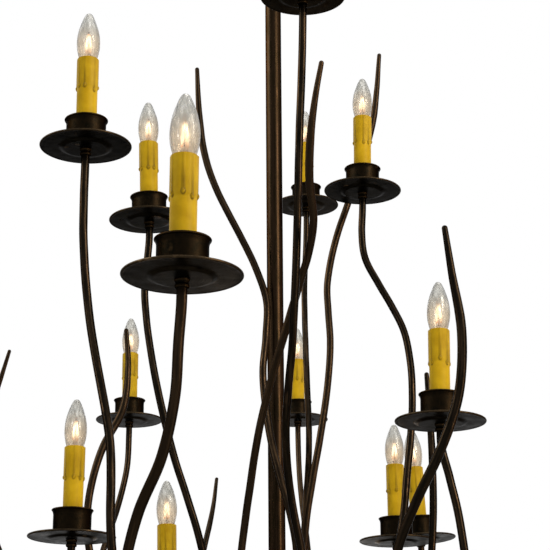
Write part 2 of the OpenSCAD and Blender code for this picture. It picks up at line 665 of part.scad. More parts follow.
// A glass stem, a ring of support wires and above it the filament, as a tent of five legs.
module bulb_filaments() {
    stem_h = sleeve_top + 8 - base_top;
    foot_z = sleeve_top + 18;
    foot_r = 4.4;
    tent_h = 20;
    top_r = 1.5;
    color("#ffb65a") on_candles() {
        translate([0, 0, base_top + gap]) cylinder(r1 = 3.6, r2 = 2, h = stem_h);
        translate([0, 0, base_top + stem_h - 1])
            cylinder(r = 0.9, h = foot_z - base_top - stem_h + 1);
        translate([0, 0, foot_z - 0.6]) cylinder(r = foot_r + 0.6, h = 1.2);
        translate([0, 0, foot_z + tent_h - 0.6]) cylinder(r = top_r + 0.6, h = 1.2);
        for (turn = [0:72:288]) rotate(turn) translate([foot_r, 0, foot_z])
            rotate([0, -atan((foot_r - top_r) / tent_h), 0])
            cylinder(r = 0.7, h = norm([foot_r - top_r, tent_h]), $fn = 16);
    }
}

function two_digits(i) = str(i < 10 ? "0" : "", i);
ARM_NODES = [for (i = [1:len(ARMS)]) str("arm_", two_digits(i))];

crossbar();
threaded_nipple();
nipple_locknut();
canopy();
collar_ring();
screw_loop();
link();
pole_eye();
pole();
pole_bushing();
centre_rod();
hub_top();
set_screws();
hub_body();
hub_cover();
cover_nut();
finial();
for (i = [0:len(ARMS) - 1]) arm(i);
twigs(LEFT_TWIGS);  // left_twigs
twigs(RIGHT_TWIGS);  // right_twigs
twigs(FRONT_TWIGS);  // front_twigs
twigs(BACK_TWIGS);  // back_twigs
drip_dishes();
arm_collars();
candle_stems();
candle_cups();
cup_nuts();
socket_brackets();
socket_shells();
candle_sleeves();
bulb_glasses();
bulb_bases();
bulb_filaments();
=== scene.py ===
"""Looks for a branch chandelier: hammered bronze rods, spun dishes and dripping candles.

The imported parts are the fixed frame. Everything is in metres, +Z up, with the ceiling at z = 0.
Sizes that are easier to read in millimetres are written so and multiplied by MM.
"""

import json
import logging
import math
from dataclasses import dataclass
from enum import Enum
from functools import partial
from typing import Callable

import bpy
import numpy as np
from mathutils import Matrix, Vector

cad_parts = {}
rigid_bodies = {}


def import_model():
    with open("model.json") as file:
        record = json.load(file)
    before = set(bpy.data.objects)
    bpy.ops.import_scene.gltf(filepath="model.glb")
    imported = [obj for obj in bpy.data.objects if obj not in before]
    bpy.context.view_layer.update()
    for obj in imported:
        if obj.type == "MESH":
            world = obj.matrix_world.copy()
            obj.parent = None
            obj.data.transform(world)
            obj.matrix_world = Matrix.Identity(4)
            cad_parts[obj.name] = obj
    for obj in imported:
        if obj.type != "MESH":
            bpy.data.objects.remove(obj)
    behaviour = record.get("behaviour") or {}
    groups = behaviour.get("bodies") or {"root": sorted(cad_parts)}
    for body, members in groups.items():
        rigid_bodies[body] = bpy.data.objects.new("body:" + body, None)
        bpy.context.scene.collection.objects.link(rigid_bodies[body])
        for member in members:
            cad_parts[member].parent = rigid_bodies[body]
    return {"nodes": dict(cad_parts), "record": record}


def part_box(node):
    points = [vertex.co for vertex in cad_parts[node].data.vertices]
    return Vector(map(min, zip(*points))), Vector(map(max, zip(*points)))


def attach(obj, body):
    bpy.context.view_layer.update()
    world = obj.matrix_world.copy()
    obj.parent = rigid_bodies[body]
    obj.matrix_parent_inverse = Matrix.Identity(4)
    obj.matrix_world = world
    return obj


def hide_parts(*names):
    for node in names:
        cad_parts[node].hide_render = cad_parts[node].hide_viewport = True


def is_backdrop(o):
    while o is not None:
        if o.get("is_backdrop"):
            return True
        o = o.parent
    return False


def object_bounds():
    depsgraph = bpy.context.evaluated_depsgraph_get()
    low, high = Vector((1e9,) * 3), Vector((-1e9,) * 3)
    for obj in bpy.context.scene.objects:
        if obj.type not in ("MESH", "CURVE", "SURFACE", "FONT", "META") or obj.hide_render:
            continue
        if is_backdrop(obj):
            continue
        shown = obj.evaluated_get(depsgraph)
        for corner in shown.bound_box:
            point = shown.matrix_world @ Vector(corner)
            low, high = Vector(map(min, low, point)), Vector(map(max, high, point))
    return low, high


LOG = logging.getLogger("chandelier")
MM = 0.001
FULL_TURN = 2 * math.pi
CANDLES = 24
Socket = bpy.types.NodeSocket
Add = Callable[..., Socket]  # add_node, held to one tree


# --- Shapes: rings of points that close into one skin ---
class Ends(Enum):
    """How a surface's first and last ring are finished."""

    JOINED = "the last ring meets the first"
    CAPPED = "a fan closes each end"


@dataclass
class Surface:
    """A closed skin of rings.

    Attributes:
        rings: Points in place, shape (rings, sides, 3).
        bench: The same points on the straight, upright piece, which the patterns read.
        wear: How rubbed each point is, or on a sleeve its painted shade and darker tone, 0 to 1,
            shape (rings, sides). None is all 0.
        ends: How the first and last ring are finished.
    """

    rings: np.ndarray
    bench: np.ndarray
    wear: np.ndarray | None = None
    ends: Ends = Ends.JOINED

    def __post_init__(self) -> None:
        """Fills in the wear of an unworn piece."""
        if self.wear is None:
            self.wear = np.zeros(self.rings.shape[:2])

    def points(self, values: np.ndarray) -> np.ndarray:
        """Lists a value of each ring point, with the mean of the end rings for the two poles.

        Args:
            values: An array of shape (rings, sides, parts).

        Returns:
            The values, one row a point.
        """
        flat = values.reshape(-1, values.shape[-1])
        if self.ends is Ends.JOINED:
            return flat
        return np.vstack([flat, values[0].mean(0), values[-1].mean(0)])

    def faces(self, first: int) -> tuple[np.ndarray, np.ndarray]:
        """Works out the faces, turned outwards.

        The sum of the faces' cones to the origin is the volume inside; where it comes out
        negative the skin is inside out, and every face is listed backwards.

        Args:
            first: The number of this surface's first point in its piece.

        Returns:
            Four-sided faces and three-sided faces, as rows of point numbers.
        """
        count, sides = self.rings.shape[:2]
        index = np.arange(count * sides).reshape(count, sides)
        joined = self.ends is Ends.JOINED
        here = index if joined else index[:-1]
        after = np.roll(index, -1, 0) if joined else index[1:]
        quads = np.stack([here, np.roll(here, -1, 1), np.roll(after, -1, 1), after], 2)
        quads = quads.reshape(-1, 4)
        fans = np.zeros((0, 3), int)
        if not joined:
            low, high = index[0], index[-1]
            pole = np.full(sides, count * sides)
            fans = np.vstack([
                np.stack([np.roll(low, -1), low, pole], 1),
                np.stack([high, np.roll(high, -1), pole + 1], 1),
            ])
        spots = self.points(self.rings)
        cones = np.vstack([quads[:, [0, 1, 2]], quads[:, [0, 2, 3]], fans])
        a, b, c = (spots[cones[:, k]] for k in range(3))
        if np.einsum("ij,ij->i", a, np.cross(b, c)).sum() < 0:
            quads, fans = quads[:, ::-1], fans[:, ::-1]
        return quads + first, fans + first


def make_piece(
    name: str, surfaces: list[Surface], material: bpy.types.Material, lot: float = 0.0
) -> bpy.types.Object:
    """Makes one smooth mesh object out of closed surfaces.

    Args:
        name: The piece's name.
        surfaces: The closed skins that the piece is made of.
        material: The piece's finish.
        lot: A number from 0 to 1 that shifts the finish's pattern, so that no two look alike.

    Returns:
        The object, at the origin, with its place in its mesh.
    """
    parts, first = [], 0
    for s in surfaces:
        lists = [s.points(values) for values in (s.rings, s.bench, s.wear[..., None])]
        parts.append((*lists, *s.faces(first)))
        first += len(lists[0])
    spots, benches, wear_and_shade_values, four, three = (np.vstack(part) for part in zip(*parts))
    corners = np.concatenate([four.ravel(), three.ravel()])
    starts = np.concatenate([np.arange(len(four)) * 4, four.size + np.arange(len(three)) * 3])
    mesh = bpy.data.meshes.new(name)
    mesh.vertices.add(first)
    mesh.vertices.foreach_set("co", spots.astype(np.float32).ravel())
    mesh.loops.add(len(corners))
    mesh.loops.foreach_set("vertex_index", corners.astype(np.int32))
    mesh.polygons.add(len(starts))
    mesh.polygons.foreach_set("loop_start", starts.astype(np.int32))
    mesh.polygons.foreach_set("use_smooth", np.ones(len(starts), bool))
    mesh.update(calc_edges=True)
    for key, kind, part, values in (
        ("bench", "FLOAT_VECTOR", "vector", benches),
        ("wear", "FLOAT", "value", wear_and_shade_values),
        ("lot", "FLOAT", "value", np.full(first, lot)),
    ):
        attribute = mesh.attributes.new(key, kind, "POINT")
        attribute.data.foreach_set(part, values.astype(np.float32).ravel())
    mesh.materials.append(material)
    piece = bpy.data.objects.new(name, mesh)
    bpy.context.scene.collection.objects.link(piece)
    return piece


def unit(vectors: np.ndarray) -> np.ndarray:
    """Scales vectors, along the last axis, to length one."""
    return vectors / np.linalg.norm(vectors, axis=-1, keepdims=True)


def steps_round(count: int) -> np.ndarray:
    """Angles of evenly spaced points round a circle."""
    return np.linspace(0, FULL_TURN, count, endpoint=False)


def polar(radius: np.ndarray, turn: np.ndarray, height: np.ndarray) -> np.ndarray:
    """Places points at (r cos a, r sin a, z), along a new last axis."""
    across = radius * np.cos(turn), radius * np.sin(turn)
    return np.stack(np.broadcast_arrays(*across, height), -1)


def lathe(profile: np.ndarray, sides: int) -> np.ndarray:
    """Turns a profile about Z: ring i is (r cos a, r sin a, z) for even steps of a.

    Args:
        profile: Rows of radius and height.
        sides: Points in a ring.

    Returns:
        Rings of shape (rows, sides, 3).
    """
    radius, height = profile.T[..., None]
    return polar(radius, steps_round(sides), height)


def rounded(corners: np.ndarray, cut: float) -> np.ndarray:
    """Rounds the corners of a closed profile.

    Each corner c gives the points (1-t)^2 a + 2t(1-t) c + t^2 b at t = 0, 1/2 and 1, where a and
    b lie a cut before and after it, and one more point a little further out on both sides, which
    keeps the shading of the flats flat.

    Args:
        corners: Rows of radius and height.
        cut: How much of each side a corner takes, in the profile's units.

    Returns:
        The rounded profile, five rows a corner.
    """
    before, after = np.roll(corners, 1, 0) - corners, np.roll(corners, -1, 0) - corners
    reach = np.minimum(np.linalg.norm(before, axis=1), np.linalg.norm(after, axis=1))
    take = np.minimum(cut, 0.36 * reach)[:, None]
    back, on = unit(before) * take, unit(after) * take
    a, b = corners + back, corners + on
    middle = a / 4 + corners / 2 + b / 4
    rows = [corners + back * 1.3, a, middle, b, corners + on * 1.3]
    return np.stack(rows, 1).reshape(-1, 2)


def along(centres: np.ndarray, radii: np.ndarray, closed: bool = False) -> np.ndarray:
    """Carries a ring along a line without twisting it.

    The first side of every ring is the direction that the line bends in least, less its part
    along the line; the second side is square to both.

    Args:
        centres: Points of the line, shape (rings, 3).
        radii: The radius at each ring and side, shape (rings, sides).
        closed: Whether the line's end meets its start.

    Returns:
        Rings of shape (rings, sides, 3).
    """
    if closed:
        heading = unit(np.roll(centres, -1, 0) - np.roll(centres, 1, 0))
    else:
        heading = unit(np.gradient(centres, axis=0))
    least = np.linalg.svd(centres - centres.mean(0), full_matrices=False)[2][2]
    side = unit(least - (heading @ least)[:, None] * heading)[:, None]
    third = np.cross(heading[:, None], side)
    turn = steps_round(radii.shape[1])[None, :, None]
    return centres[:, None] + radii[..., None] * (np.cos(turn) * side + np.sin(turn) * third)


def smooth_line(points: np.ndarray, step: float) -> np.ndarray:
    """Draws a smooth line through points.

    The heading at a point is the mean of the two stretches that meet there, with the shorter
    one weighing more, and each stretch is the cubic that has those headings at its ends.

    Args:
        points: Points that the line passes, shape (points, 3).
        step: About how far apart the new points are.

    Returns:
        The new points.
    """
    stretch = np.diff(points, axis=0)
    length = np.linalg.norm(stretch, axis=1)
    pull = stretch / length[:, None] ** 2
    heading = unit(np.vstack([stretch[:1], pull[:-1] + pull[1:], stretch[-1:]]))
    parts = np.maximum(2, np.ceil(length / step).astype(int))
    number = np.repeat(np.arange(len(parts)), parts)
    start = np.repeat(np.cumsum(parts) - parts, parts)
    t = ((np.arange(len(number)) - start) / parts[number])[:, None]
    size = length[number][:, None]
    line = (
        points[number] * (2 * t**3 - 3 * t**2 + 1)
        + heading[number] * size * (t**3 - 2 * t**2 + t)
        + points[number + 1] * (3 * t**2 - 2 * t**3)
        + heading[number + 1] * size * (t**3 - t**2)
    )
    return np.vstack([line, points[-1]])


def travelled(line: np.ndarray) -> np.ndarray:
    """Distance of each point from the line's start, measured along the line."""
    return np.concatenate([[0.0], np.cumsum(np.linalg.norm(np.diff(line, axis=0), axis=1))])


def fade(values: np.ndarray, low: float, high: float) -> np.ndarray:
    """Goes smoothly from 0 at low to 1 at high, as 3t^2 - 2t^3."""
    t = np.clip((values - low) / (high - low), 0, 1)
    return t * t * (3 - 2 * t)


# --- Finishes ---
class Pattern(Enum):
    """What a finish's pattern follows."""

    BENCH = "the piece as it lay straight on the bench"
    OBJECT = "the object's own coordinates"


def linear(colour: str) -> tuple[float, float, float, float]:
    """Turns an sRGB hex colour, such as "#c8a878", into linear light with an alpha of 1."""
    parts = [int(colour[k:k + 2], 16) / 255 for k in (1, 3, 5)]
    return (*(c / 12.92 if c <= 0.04045 else ((c + 0.055) / 1.055) ** 2.4 for c in parts), 1.0)


def add_node(
    tree: bpy.types.NodeTree,
    kind: str,
    inputs: dict | None = None,
    out: int | str = 0,
    stops: list[tuple[float, str]] | None = None,
    **settings: object,
) -> Socket | None:
    """Adds one node with its settings and links.

    Args:
        tree: The node tree.
        kind: The node's type, without the words ShaderNode.
        inputs: Input names or numbers, each with its value or with the socket that feeds it.
        out: The name or number of the output to hand back.
        stops: Places and colours of a colour ramp.
        **settings: The node's own settings.

    Returns:
        That output, or None where the node has none.
    """
    node = tree.nodes.new("ShaderNode" + kind)
    for name, value in settings.items():
        setattr(node, name, value)
    for key, value in (inputs or {}).items():
        if isinstance(value, bpy.types.NodeSocket):
            tree.links.new(value, node.inputs[key])
        else:
            node.inputs[key].default_value = value
    if stops:
        ramp = node.color_ramp.elements
        while len(ramp) < len(stops):
            ramp.new(0.5)
        for element, (place, colour) in zip(ramp, stops):
            element.position, element.color = place, linear(colour)
    return node.outputs[out] if node.outputs else None


def new_material(name: str) -> tuple[bpy.types.Material, Add]:
    """Makes a material that holds no node yet.

    Args:
        name: The finish's name.

    Returns:
        The material, and add_node held to its tree.
    """
    material = bpy.data.materials.new(name)
    material.use_nodes = True
    material.node_tree.nodes.clear()
    return material, partial(add_node, material.node_tree)


def pattern_place(add: Add, pattern: Pattern) -> tuple[Socket, Socket]:
    """Gives the sockets that a pattern is placed by.

    Args:
        add: Adds a node.
        pattern: What the pattern follows.

    Returns:
        The place, and the number that shifts the pattern from piece to piece.
    """
    lot = add("Attribute", out="Fac", attribute_name="lot")
    if pattern is Pattern.BENCH:
        return add("Attribute", out="Vector", attribute_name="bench"), lot
    return add("TexCoord", out="Object"), lot


@dataclass(frozen=True)
class AgedBronze:
    """Steel or brass under a chemical brown patina, waxed: near black, rubbed to tan in places.

    Attributes:
        name: The finish's name.
        dark: The patina at its thickest.
        brown: Where it is thinner.
        rubbed: Where handling has worn it.
        edge: How much of a bare metal's brightness it keeps where it is seen at a low angle.
        grain: Size in mm of a streak along the bench's X, Y and Z.
        patch: Size in mm of a patch of thinner patina.
        roughness: Least and most roughness.
        dent: Depth in mm of the hammer's or the tool's marks.
        dent_size: Size in mm of such a mark.
        spun: Distance in mm between the rings that the spinning tool left, or 0.
        vary: How much of the patina a lot of 1 has lost; a lot of 0.3 or less keeps all of it.
        wear_gain: How strongly the wear shows.
        dulling: How much rougher a piece is that has lost its patina.
        pattern: What the pattern follows.
    """

    name: str
    dark: str = "#0a0908"
    brown: str = "#16120d"
    rubbed: str = "#3a2d20"
    edge: str = "#aeaeae"
    grain: tuple[float, float, float] = (3.5, 3.5, 26.0)
    patch: float = 60.0
    roughness: tuple[float, float] = (0.18, 0.3)
    dent: float = 0.4
    dent_size: float = 12.0
    spun: float = 0.0
    vary: float = 0.0
    wear_gain: float = 1.6
    dulling: float = 0.22
    pattern: Pattern = Pattern.BENCH

    def material(self) -> bpy.types.Material:
        """Builds the finish: a metal whose colour, gloss and dents follow noise on the bench.

        Returns:
            The material.
        """
        material, add = new_material(self.name)
        place, lot = pattern_place(add, self.pattern)
        shift = add("Math", {0: lot, 1: 31.0}, operation="MULTIPLY")
        scale = [1 / (size * MM) for size in self.grain]
        fitted = add("Mapping", {"Scale": scale, "Vector": place})
        streak = add(
            "TexNoise",
            {"Vector": fitted, "W": shift, "Scale": 1.0, "Detail": 4.0, "Roughness": 0.62},
            noise_dimensions="4D",
        )
        scale = 1 / (self.patch * MM)
        patch = add(
            "TexNoise",
            {"Vector": place, "W": shift, "Scale": scale, "Detail": 3.0, "Roughness": 0.55},
            noise_dimensions="4D",
        )
        both = add("Mix", {0: 0.38, 2: streak, 3: patch})
        colour = add("ValToRGB", {0: both}, stops=[
            (0.36, self.dark), (0.5, self.brown), (0.58, self.dark), (0.7, self.rubbed)
        ])
        wear = add("Attribute", out="Fac", attribute_name="wear")
        lost = add("MapRange", {"Value": lot, "From Min": 0.3, "To Max": self.vary})
        worn = add("Math", {0: wear, 1: self.wear_gain, 2: lost}, operation="MULTIPLY_ADD")
        worn = add("Math", {0: worn, 1: streak}, operation="MULTIPLY", use_clamp=True)
        colour = add("Mix", {0: worn, 6: colour, 7: linear(self.rubbed)}, 2, data_type="RGBA")
        low, high = self.roughness
        gloss = add("MapRange", {
            "Value": patch, "From Min": 0.35, "From Max": 0.68, "To Min": high, "To Max": low
        })
        gloss = add("Math", {0: lost, 1: self.dulling, 2: gloss}, operation="MULTIPLY_ADD")
        skin = add("BsdfPrincipled", {
            "Base Color": colour, "Metallic": 1.0, "Roughness": gloss,
            "Specular Tint": linear(self.edge), "Normal": self.marks(add, place, shift, streak),
        })
        add("OutputMaterial", {0: skin})
        return material

    def marks(self, add: Add, place: Socket, shift: Socket, streak: Socket) -> Socket:
        """Adds the dents and, on a spun piece, the fine rings.

        The rings are waves of the distance from the piece's axis.

        Args:
            add: Adds a node.
            place: The pattern's place.
            shift: The number that sets pieces apart.
            streak: The fine streaks, which show in the relief a little.

        Returns:
            The socket of the shaded normal.
        """
        scale = 1 / (self.dent_size * MM)
        dents = add(
            "TexNoise",
            {"Vector": place, "W": shift, "Scale": scale, "Detail": 2.0, "Roughness": 0.45},
            noise_dimensions="4D",
        )
        height = add("Math", {0: streak, 1: 0.25, 2: dents}, operation="MULTIPLY_ADD")
        if self.spun:
            flat = add("VectorMath", {0: place, 1: (1, 1, 0)}, operation="MULTIPLY")
            far = add("VectorMath", {0: flat}, "Value", operation="LENGTH")
            scale = 1 / (self.spun * MM)
            rings = add(
                "TexNoise", {"W": far, "Scale": scale, "Detail": 2.0}, noise_dimensions="1D"
            )
            height = add("Math", {0: rings, 1: 0.3, 2: height}, operation="MULTIPLY_ADD")
        return add("Bump", {"Strength": 1.0, "Distance": self.dent * MM, "Height": height})


@dataclass(frozen=True)
class DripResin:
    """Candle sleeve of cast polyresin, tinted like beeswax: soft sheen, painted shade in the
    creases.
    """

    name: str = "beeswax_resin"
    wax: str = "#b8920c"
    pale: str = "#cfa818"
    # Colour of the painted shade in the drips' creases and of the coat's darker wax.
    shade_and_tone: str = "#5e4a08"
    patch: float = 22.0  # mm
    grain: float = 3.0  # mm, and eight times that along the sleeve

    def material(self) -> bpy.types.Material:
        """Builds the finish: cloudy yellow, darkened by painted shade in the drips' creases and by
        the darker tone of the coat.

        Returns:
            The material.
        """
        material, add = new_material(self.name)
        place, lot = pattern_place(add, Pattern.BENCH)
        shift = add("Math", {0: lot, 1: 23.0}, operation="MULTIPLY")
        cloud = add(
            "TexNoise",
            {"Vector": place, "W": shift, "Scale": 1 / (self.patch * MM), "Detail": 3.0},
            noise_dimensions="4D",
        )
        colour = add("ValToRGB", {0: cloud}, stops=[(0.36, self.wax), (0.66, self.pale)])
        fine = 1 / (self.grain * MM)
        fitted = add("Mapping", {"Scale": (fine, fine, fine / 8), "Vector": place})
        runs = add(
            "TexNoise", {"Vector": fitted, "W": shift, "Scale": 1.0, "Detail": 2.0},
            noise_dimensions="4D",
        )
        wear = add("Attribute", out="Fac", attribute_name="wear")
        # Painted shade and darker tone, from the wear attribute, broken up by the runs.
        shade_and_tone_mask = add("MapRange", {"Value": runs, "From Min": 0.3, "From Max": 0.7, "To Min": 0.55})
        shade_and_tone_mask = add("Math", {0: shade_and_tone_mask, 1: wear}, operation="MULTIPLY", use_clamp=True)
        skin = add("BsdfPrincipled", {
            "Base Color": add(
                "Mix", {0: shade_and_tone_mask, 6: colour, 7: linear(self.shade_and_tone)}, 2, data_type="RGBA"
            ),
            "Roughness": add("MapRange", {"Value": runs, "To Min": 0.38, "To Max": 0.6}),
            "Normal": add("Bump", {"Strength": 0.5, "Distance": 0.15 * MM, "Height": runs}),
            "Subsurface Weight": 0.05, "Subsurface Radius": (1.0, 0.7, 0.2),
            "Subsurface Scale": 2 * MM, "IOR": 1.47, "Specular IOR Level": 0.12,
        })
        add("OutputMaterial", {0: skin})
        return material


@dataclass(frozen=True)
class ClearGlass:
    """Blown glass of a clear lamp, with the thin grey film that a worked filament leaves in it."""

    name: str = "clear_lamp_glass"
    clean: str = "#f2f1ed"
    filmed: str = "#b8b7b1"
    warmed: str = "#eee0cc"
    rim: str = "#74736d"  # painted dark outline, where it is seen edge on
    roughness: tuple[float, float] = (0.05, 0.55)
    warm_from: float = 150.0  # mm above the dish: below, a painted glow of the filament's light warms the film
    warm_to: float = 182.0
    streak: tuple[float, float, float] = (4.0, 4.0, 16.0)  # mm
    wave: float = 13.0  # mm

    def material(self) -> bpy.types.Material:
        """Builds the finish: clear glass, misted in streaks, with the faint waves of blowing, a
        painted warm glow of the filament low down and a painted dark outline.

        Returns:
            The material.
        """
        material, add = new_material(self.name)
        place, lot = pattern_place(add, Pattern.BENCH)
        scale = [1 / (size * MM) for size in self.streak]
        fitted = add("Mapping", {"Scale": scale, "Vector": place})
        film = add(
            "TexNoise", {"Vector": fitted, "W": lot, "Scale": 1.0, "Detail": 3.0},
            noise_dimensions="4D",
        )
        colour = add("ValToRGB", {0: film}, stops=[(0.3, self.filmed), (0.68, self.clean)])
        clear, misted = self.roughness
        mist = add("MapRange", {
            "Value": film, "From Min": 0.4, "From Max": 0.62, "To Min": misted, "To Max": clear
        })
        # Painted glow: the filament's light tints the glass warm below warm_from, fading out by
        # warm_to.
        height = add("SeparateXYZ", {0: place}, "Z")
        share = add("MapRange", {
            "Value": height, "From Min": self.warm_from * MM, "From Max": self.warm_to * MM,
            "To Min": 0.8, "To Max": 0.0,
        })
        # Painted shade: a dark outline where the glass is seen edge on.
        facing = add("LayerWeight", {"Blend": 0.5}, "Facing")
        edge_on_shade = add(
            "MapRange", {"Value": facing, "From Min": 0.6, "From Max": 0.95, "To Max": 0.75}
        )
        for part, tint in ((share, self.warmed), (edge_on_shade, self.rim)):
            colour = add("Mix", {0: part, 6: colour, 7: linear(tint)}, 2, data_type="RGBA")
        scale = 1 / (self.wave * MM)
        waves = add(
            "TexNoise", {"Vector": place, "W": lot, "Scale": scale, "Detail": 1.0},
            noise_dimensions="4D",
        )
        skin = add("BsdfPrincipled", {
            "Base Color": colour, "Roughness": mist,
            "Normal": add("Bump", {"Strength": 0.35, "Distance": 0.3 * MM, "Height": waves}),
            "Transmission Weight": 1.0, "IOR": 1.45, "Specular IOR Level": 0.25,
        })
        add("OutputMaterial", {0: skin})
        return material


@dataclass(frozen=True)
class GlowingTungsten:
    """Tungsten filament at work: cream white in the middle, orange where its hooks cool it."""

    name: str = "glowing_tungsten"
    metal: str = "#3a302a"
    colour: str = "#ffecca"
    cooler: str = "#ff9448"
    strength: float = 3.2
    hottest: float = 155.0  # mm above the dish
    reach: float = 20.0  # mm up and down to where it is only orange

    def material(self) -> bpy.types.Material:
        """Builds the finish: bright halfway up, dim and orange at both ends, wandering a little.

        Returns:
            The material.
        """
        material, add = new_material(self.name)
        place, _ = pattern_place(add, Pattern.BENCH)
        height = add("SeparateXYZ", {0: place}, "Z")
        away = add("Math", {0: height, 1: self.hottest * MM}, operation="SUBTRACT")
        away = add("Math", {0: away}, operation="ABSOLUTE")
        heat = add(
            "MapRange", {"Value": away, "From Min": self.reach * MM, "From Max": 3 * MM},
            interpolation_type="SMOOTHSTEP",
        )
        colour = add("ValToRGB", {0: heat}, stops=[(0.0, self.cooler), (0.7, self.colour)])
        spots = add("TexNoise", {"Vector": place, "Scale": 1 / (5 * MM)})
        least, most = self.strength * 0.7, self.strength * 1.3
        power = add("MapRange", {"Value": spots, "To Min": least, "To Max": most})
        share = add("MapRange", {"Value": heat, "To Min": 0.15})
        power = add("Math", {0: power, 1: share}, operation="MULTIPLY")
        skin = add("BsdfPrincipled", {
            "Base Color": linear(self.metal), "Roughness": 0.6,
            "Emission Color": colour, "Emission Strength": power,
        })
        add("OutputMaterial", {0: skin})
        return material


@dataclass(frozen=True)
class PlainFinish:
    """A finish of one colour that varies a little: plated steel, brass, copper wire or phenolic.

    Attributes:
        name: The finish's name.
        colour: Its usual colour.
        other: The colour of its stains.
        metallic: 1 on metal and 0 on plastic.
        roughness: Least and most roughness.
        speck: Size of a stain in mm.
        pattern: What the pattern follows.
    """

    name: str
    colour: str
    other: str
    metallic: float
    roughness: tuple[float, float]
    speck: float
    pattern: Pattern = Pattern.OBJECT

    def material(self) -> bpy.types.Material:
        """Builds the finish: noise mixes the two colours and moves the roughness.

        Returns:
            The material.
        """
        material, add = new_material(self.name)
        place, _ = pattern_place(add, self.pattern)
        scale = 1 / (self.speck * MM)
        noise = add("TexNoise", {"Vector": place, "Scale": scale, "Detail": 5.0})
        low, high = self.roughness
        skin = add("BsdfPrincipled", {
            "Base Color": add(
                "ValToRGB", {0: noise}, stops=[(0.4, self.colour), (0.68, self.other)]
            ),
            "Metallic": self.metallic,
            "Roughness": add("MapRange", {"Value": noise, "To Min": low, "To Max": high}),
            "Normal": add("Bump", {"Strength": 0.3, "Distance": 0.08 * MM, "Height": noise}),
        })
        add("OutputMaterial", {0: skin})
        return material


# The finish of each of the record's material slots, and of the lamp's lead wires.
FINISHES = {
    # Forged rods: streaks where the hammer and the wax cloth went along them.
    "bronze_rod": AgedBronze("hammered_bronze_rod", roughness=(0.2, 0.32), vary=0.6),
    # Drawn pipe: smoother, with long streaks where the wax cloth went along it.
    "bronze_pole": AgedBronze(
        "waxed_bronze_pipe", dark="#161109", brown="#211810", rubbed="#3c2c1f",
        grain=(5.0, 5.0, 150.0), patch=55.0, roughness=(0.24, 0.34), dent=0.08, dent_size=30.0,
    ),
    # Spun sheet: dark, clouded by the patina, with faint rings about its middle.
    "bronze_dish": AgedBronze(
        "spun_bronze_dish", dark="#050403", brown="#13110d", rubbed="#4a3d2d", edge="#b8b8b8",
        grain=(12.0, 12.0, 12.0), patch=26.0, roughness=(0.26, 0.42), dent=0.5, dent_size=15.0,
        spun=1.6, vary=0.15,
    ),
    "bronze_cup": AgedBronze(
        "spun_bronze_cup", dark="#0a0906", brown="#130e08", rubbed="#2c2114",
        grain=(12.0, 12.0, 12.0), patch=24.0, roughness=(0.34, 0.48), dent=0.15, dent_size=16.0,
        spun=1.2,
    ),
    # Turned and cast pieces at the hub and the ceiling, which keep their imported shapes.
    "bronze_turned": AgedBronze(
        "turned_bronze", grain=(9.0, 9.0, 9.0), patch=30.0, dent=0.06, pattern=Pattern.OBJECT
    ),
    "bronze_sheet": AgedBronze(
        "spun_bronze_canopy", dark="#1c1b17", brown="#25221b", grain=(14.0, 14.0, 14.0),
        patch=40.0, dent=0.12, dent_size=24.0, spun=1.6, pattern=Pattern.OBJECT,
    ),
    "wax_sleeve": DripResin(),
    "clear_glass": ClearGlass(),
    "lamp_filament": GlowingTungsten(),
    # Copper-clad lead wire in the lamp, reddened by heat.
    "lead_wire": PlainFinish(
        "copper_lead_wire", "#8a4a2c", "#5a2c1a", 1.0, (0.3, 0.5), 2.0, Pattern.BENCH
    ),
    # Zinc-plated steel: pale grey and a little cloudy.
    "zinc_steel": PlainFinish("zinc_plated_steel", "#8f8d88", "#6c6a64", 1.0, (0.28, 0.5), 9.0),
    # Phenolic socket shell: black, moulded, with a dull skin.
    "black_phenolic": PlainFinish("moulded_phenolic", "#161413", "#262220", 0.0, (0.4, 0.6), 6.0),
    # Screw shell of the lamp: bright brass, a little tarnished.
    "lamp_brass": PlainFinish("lamp_brass", "#b98f45", "#8a6428", 1.0, (0.25, 0.45), 4.0),
}
Materials = dict[str, bpy.types.Material]
NODE_BODY: dict[str, str] = {}


def register(piece: bpy.types.Object, node: str) -> None:
    """Makes a piece ride on its node's body and stand for that node.

    Args:
        piece: The new piece.
        node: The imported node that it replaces.
    """
    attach(piece, NODE_BODY[node])
    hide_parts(node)
    LOG.info("%s rides on %s and replaces %s", piece.name, NODE_BODY[node], node)


# --- Branchwork ---
def groups(touching: np.ndarray) -> np.ndarray:
    """Labels points by the group that they hang together in.

    Every label falls to the lowest one that it touches until none changes.

    Args:
        touching: A square yes-or-no table, with yes on its diagonal.

    Returns:
        A number from 0 up for each point.
    """
    labels = np.arange(len(touching))
    while True:
        lowest = np.where(touching, labels[None, :], len(labels)).min(1)
        if (lowest == labels).all():
            return np.unique(labels, return_inverse=True)[1]
        labels = lowest


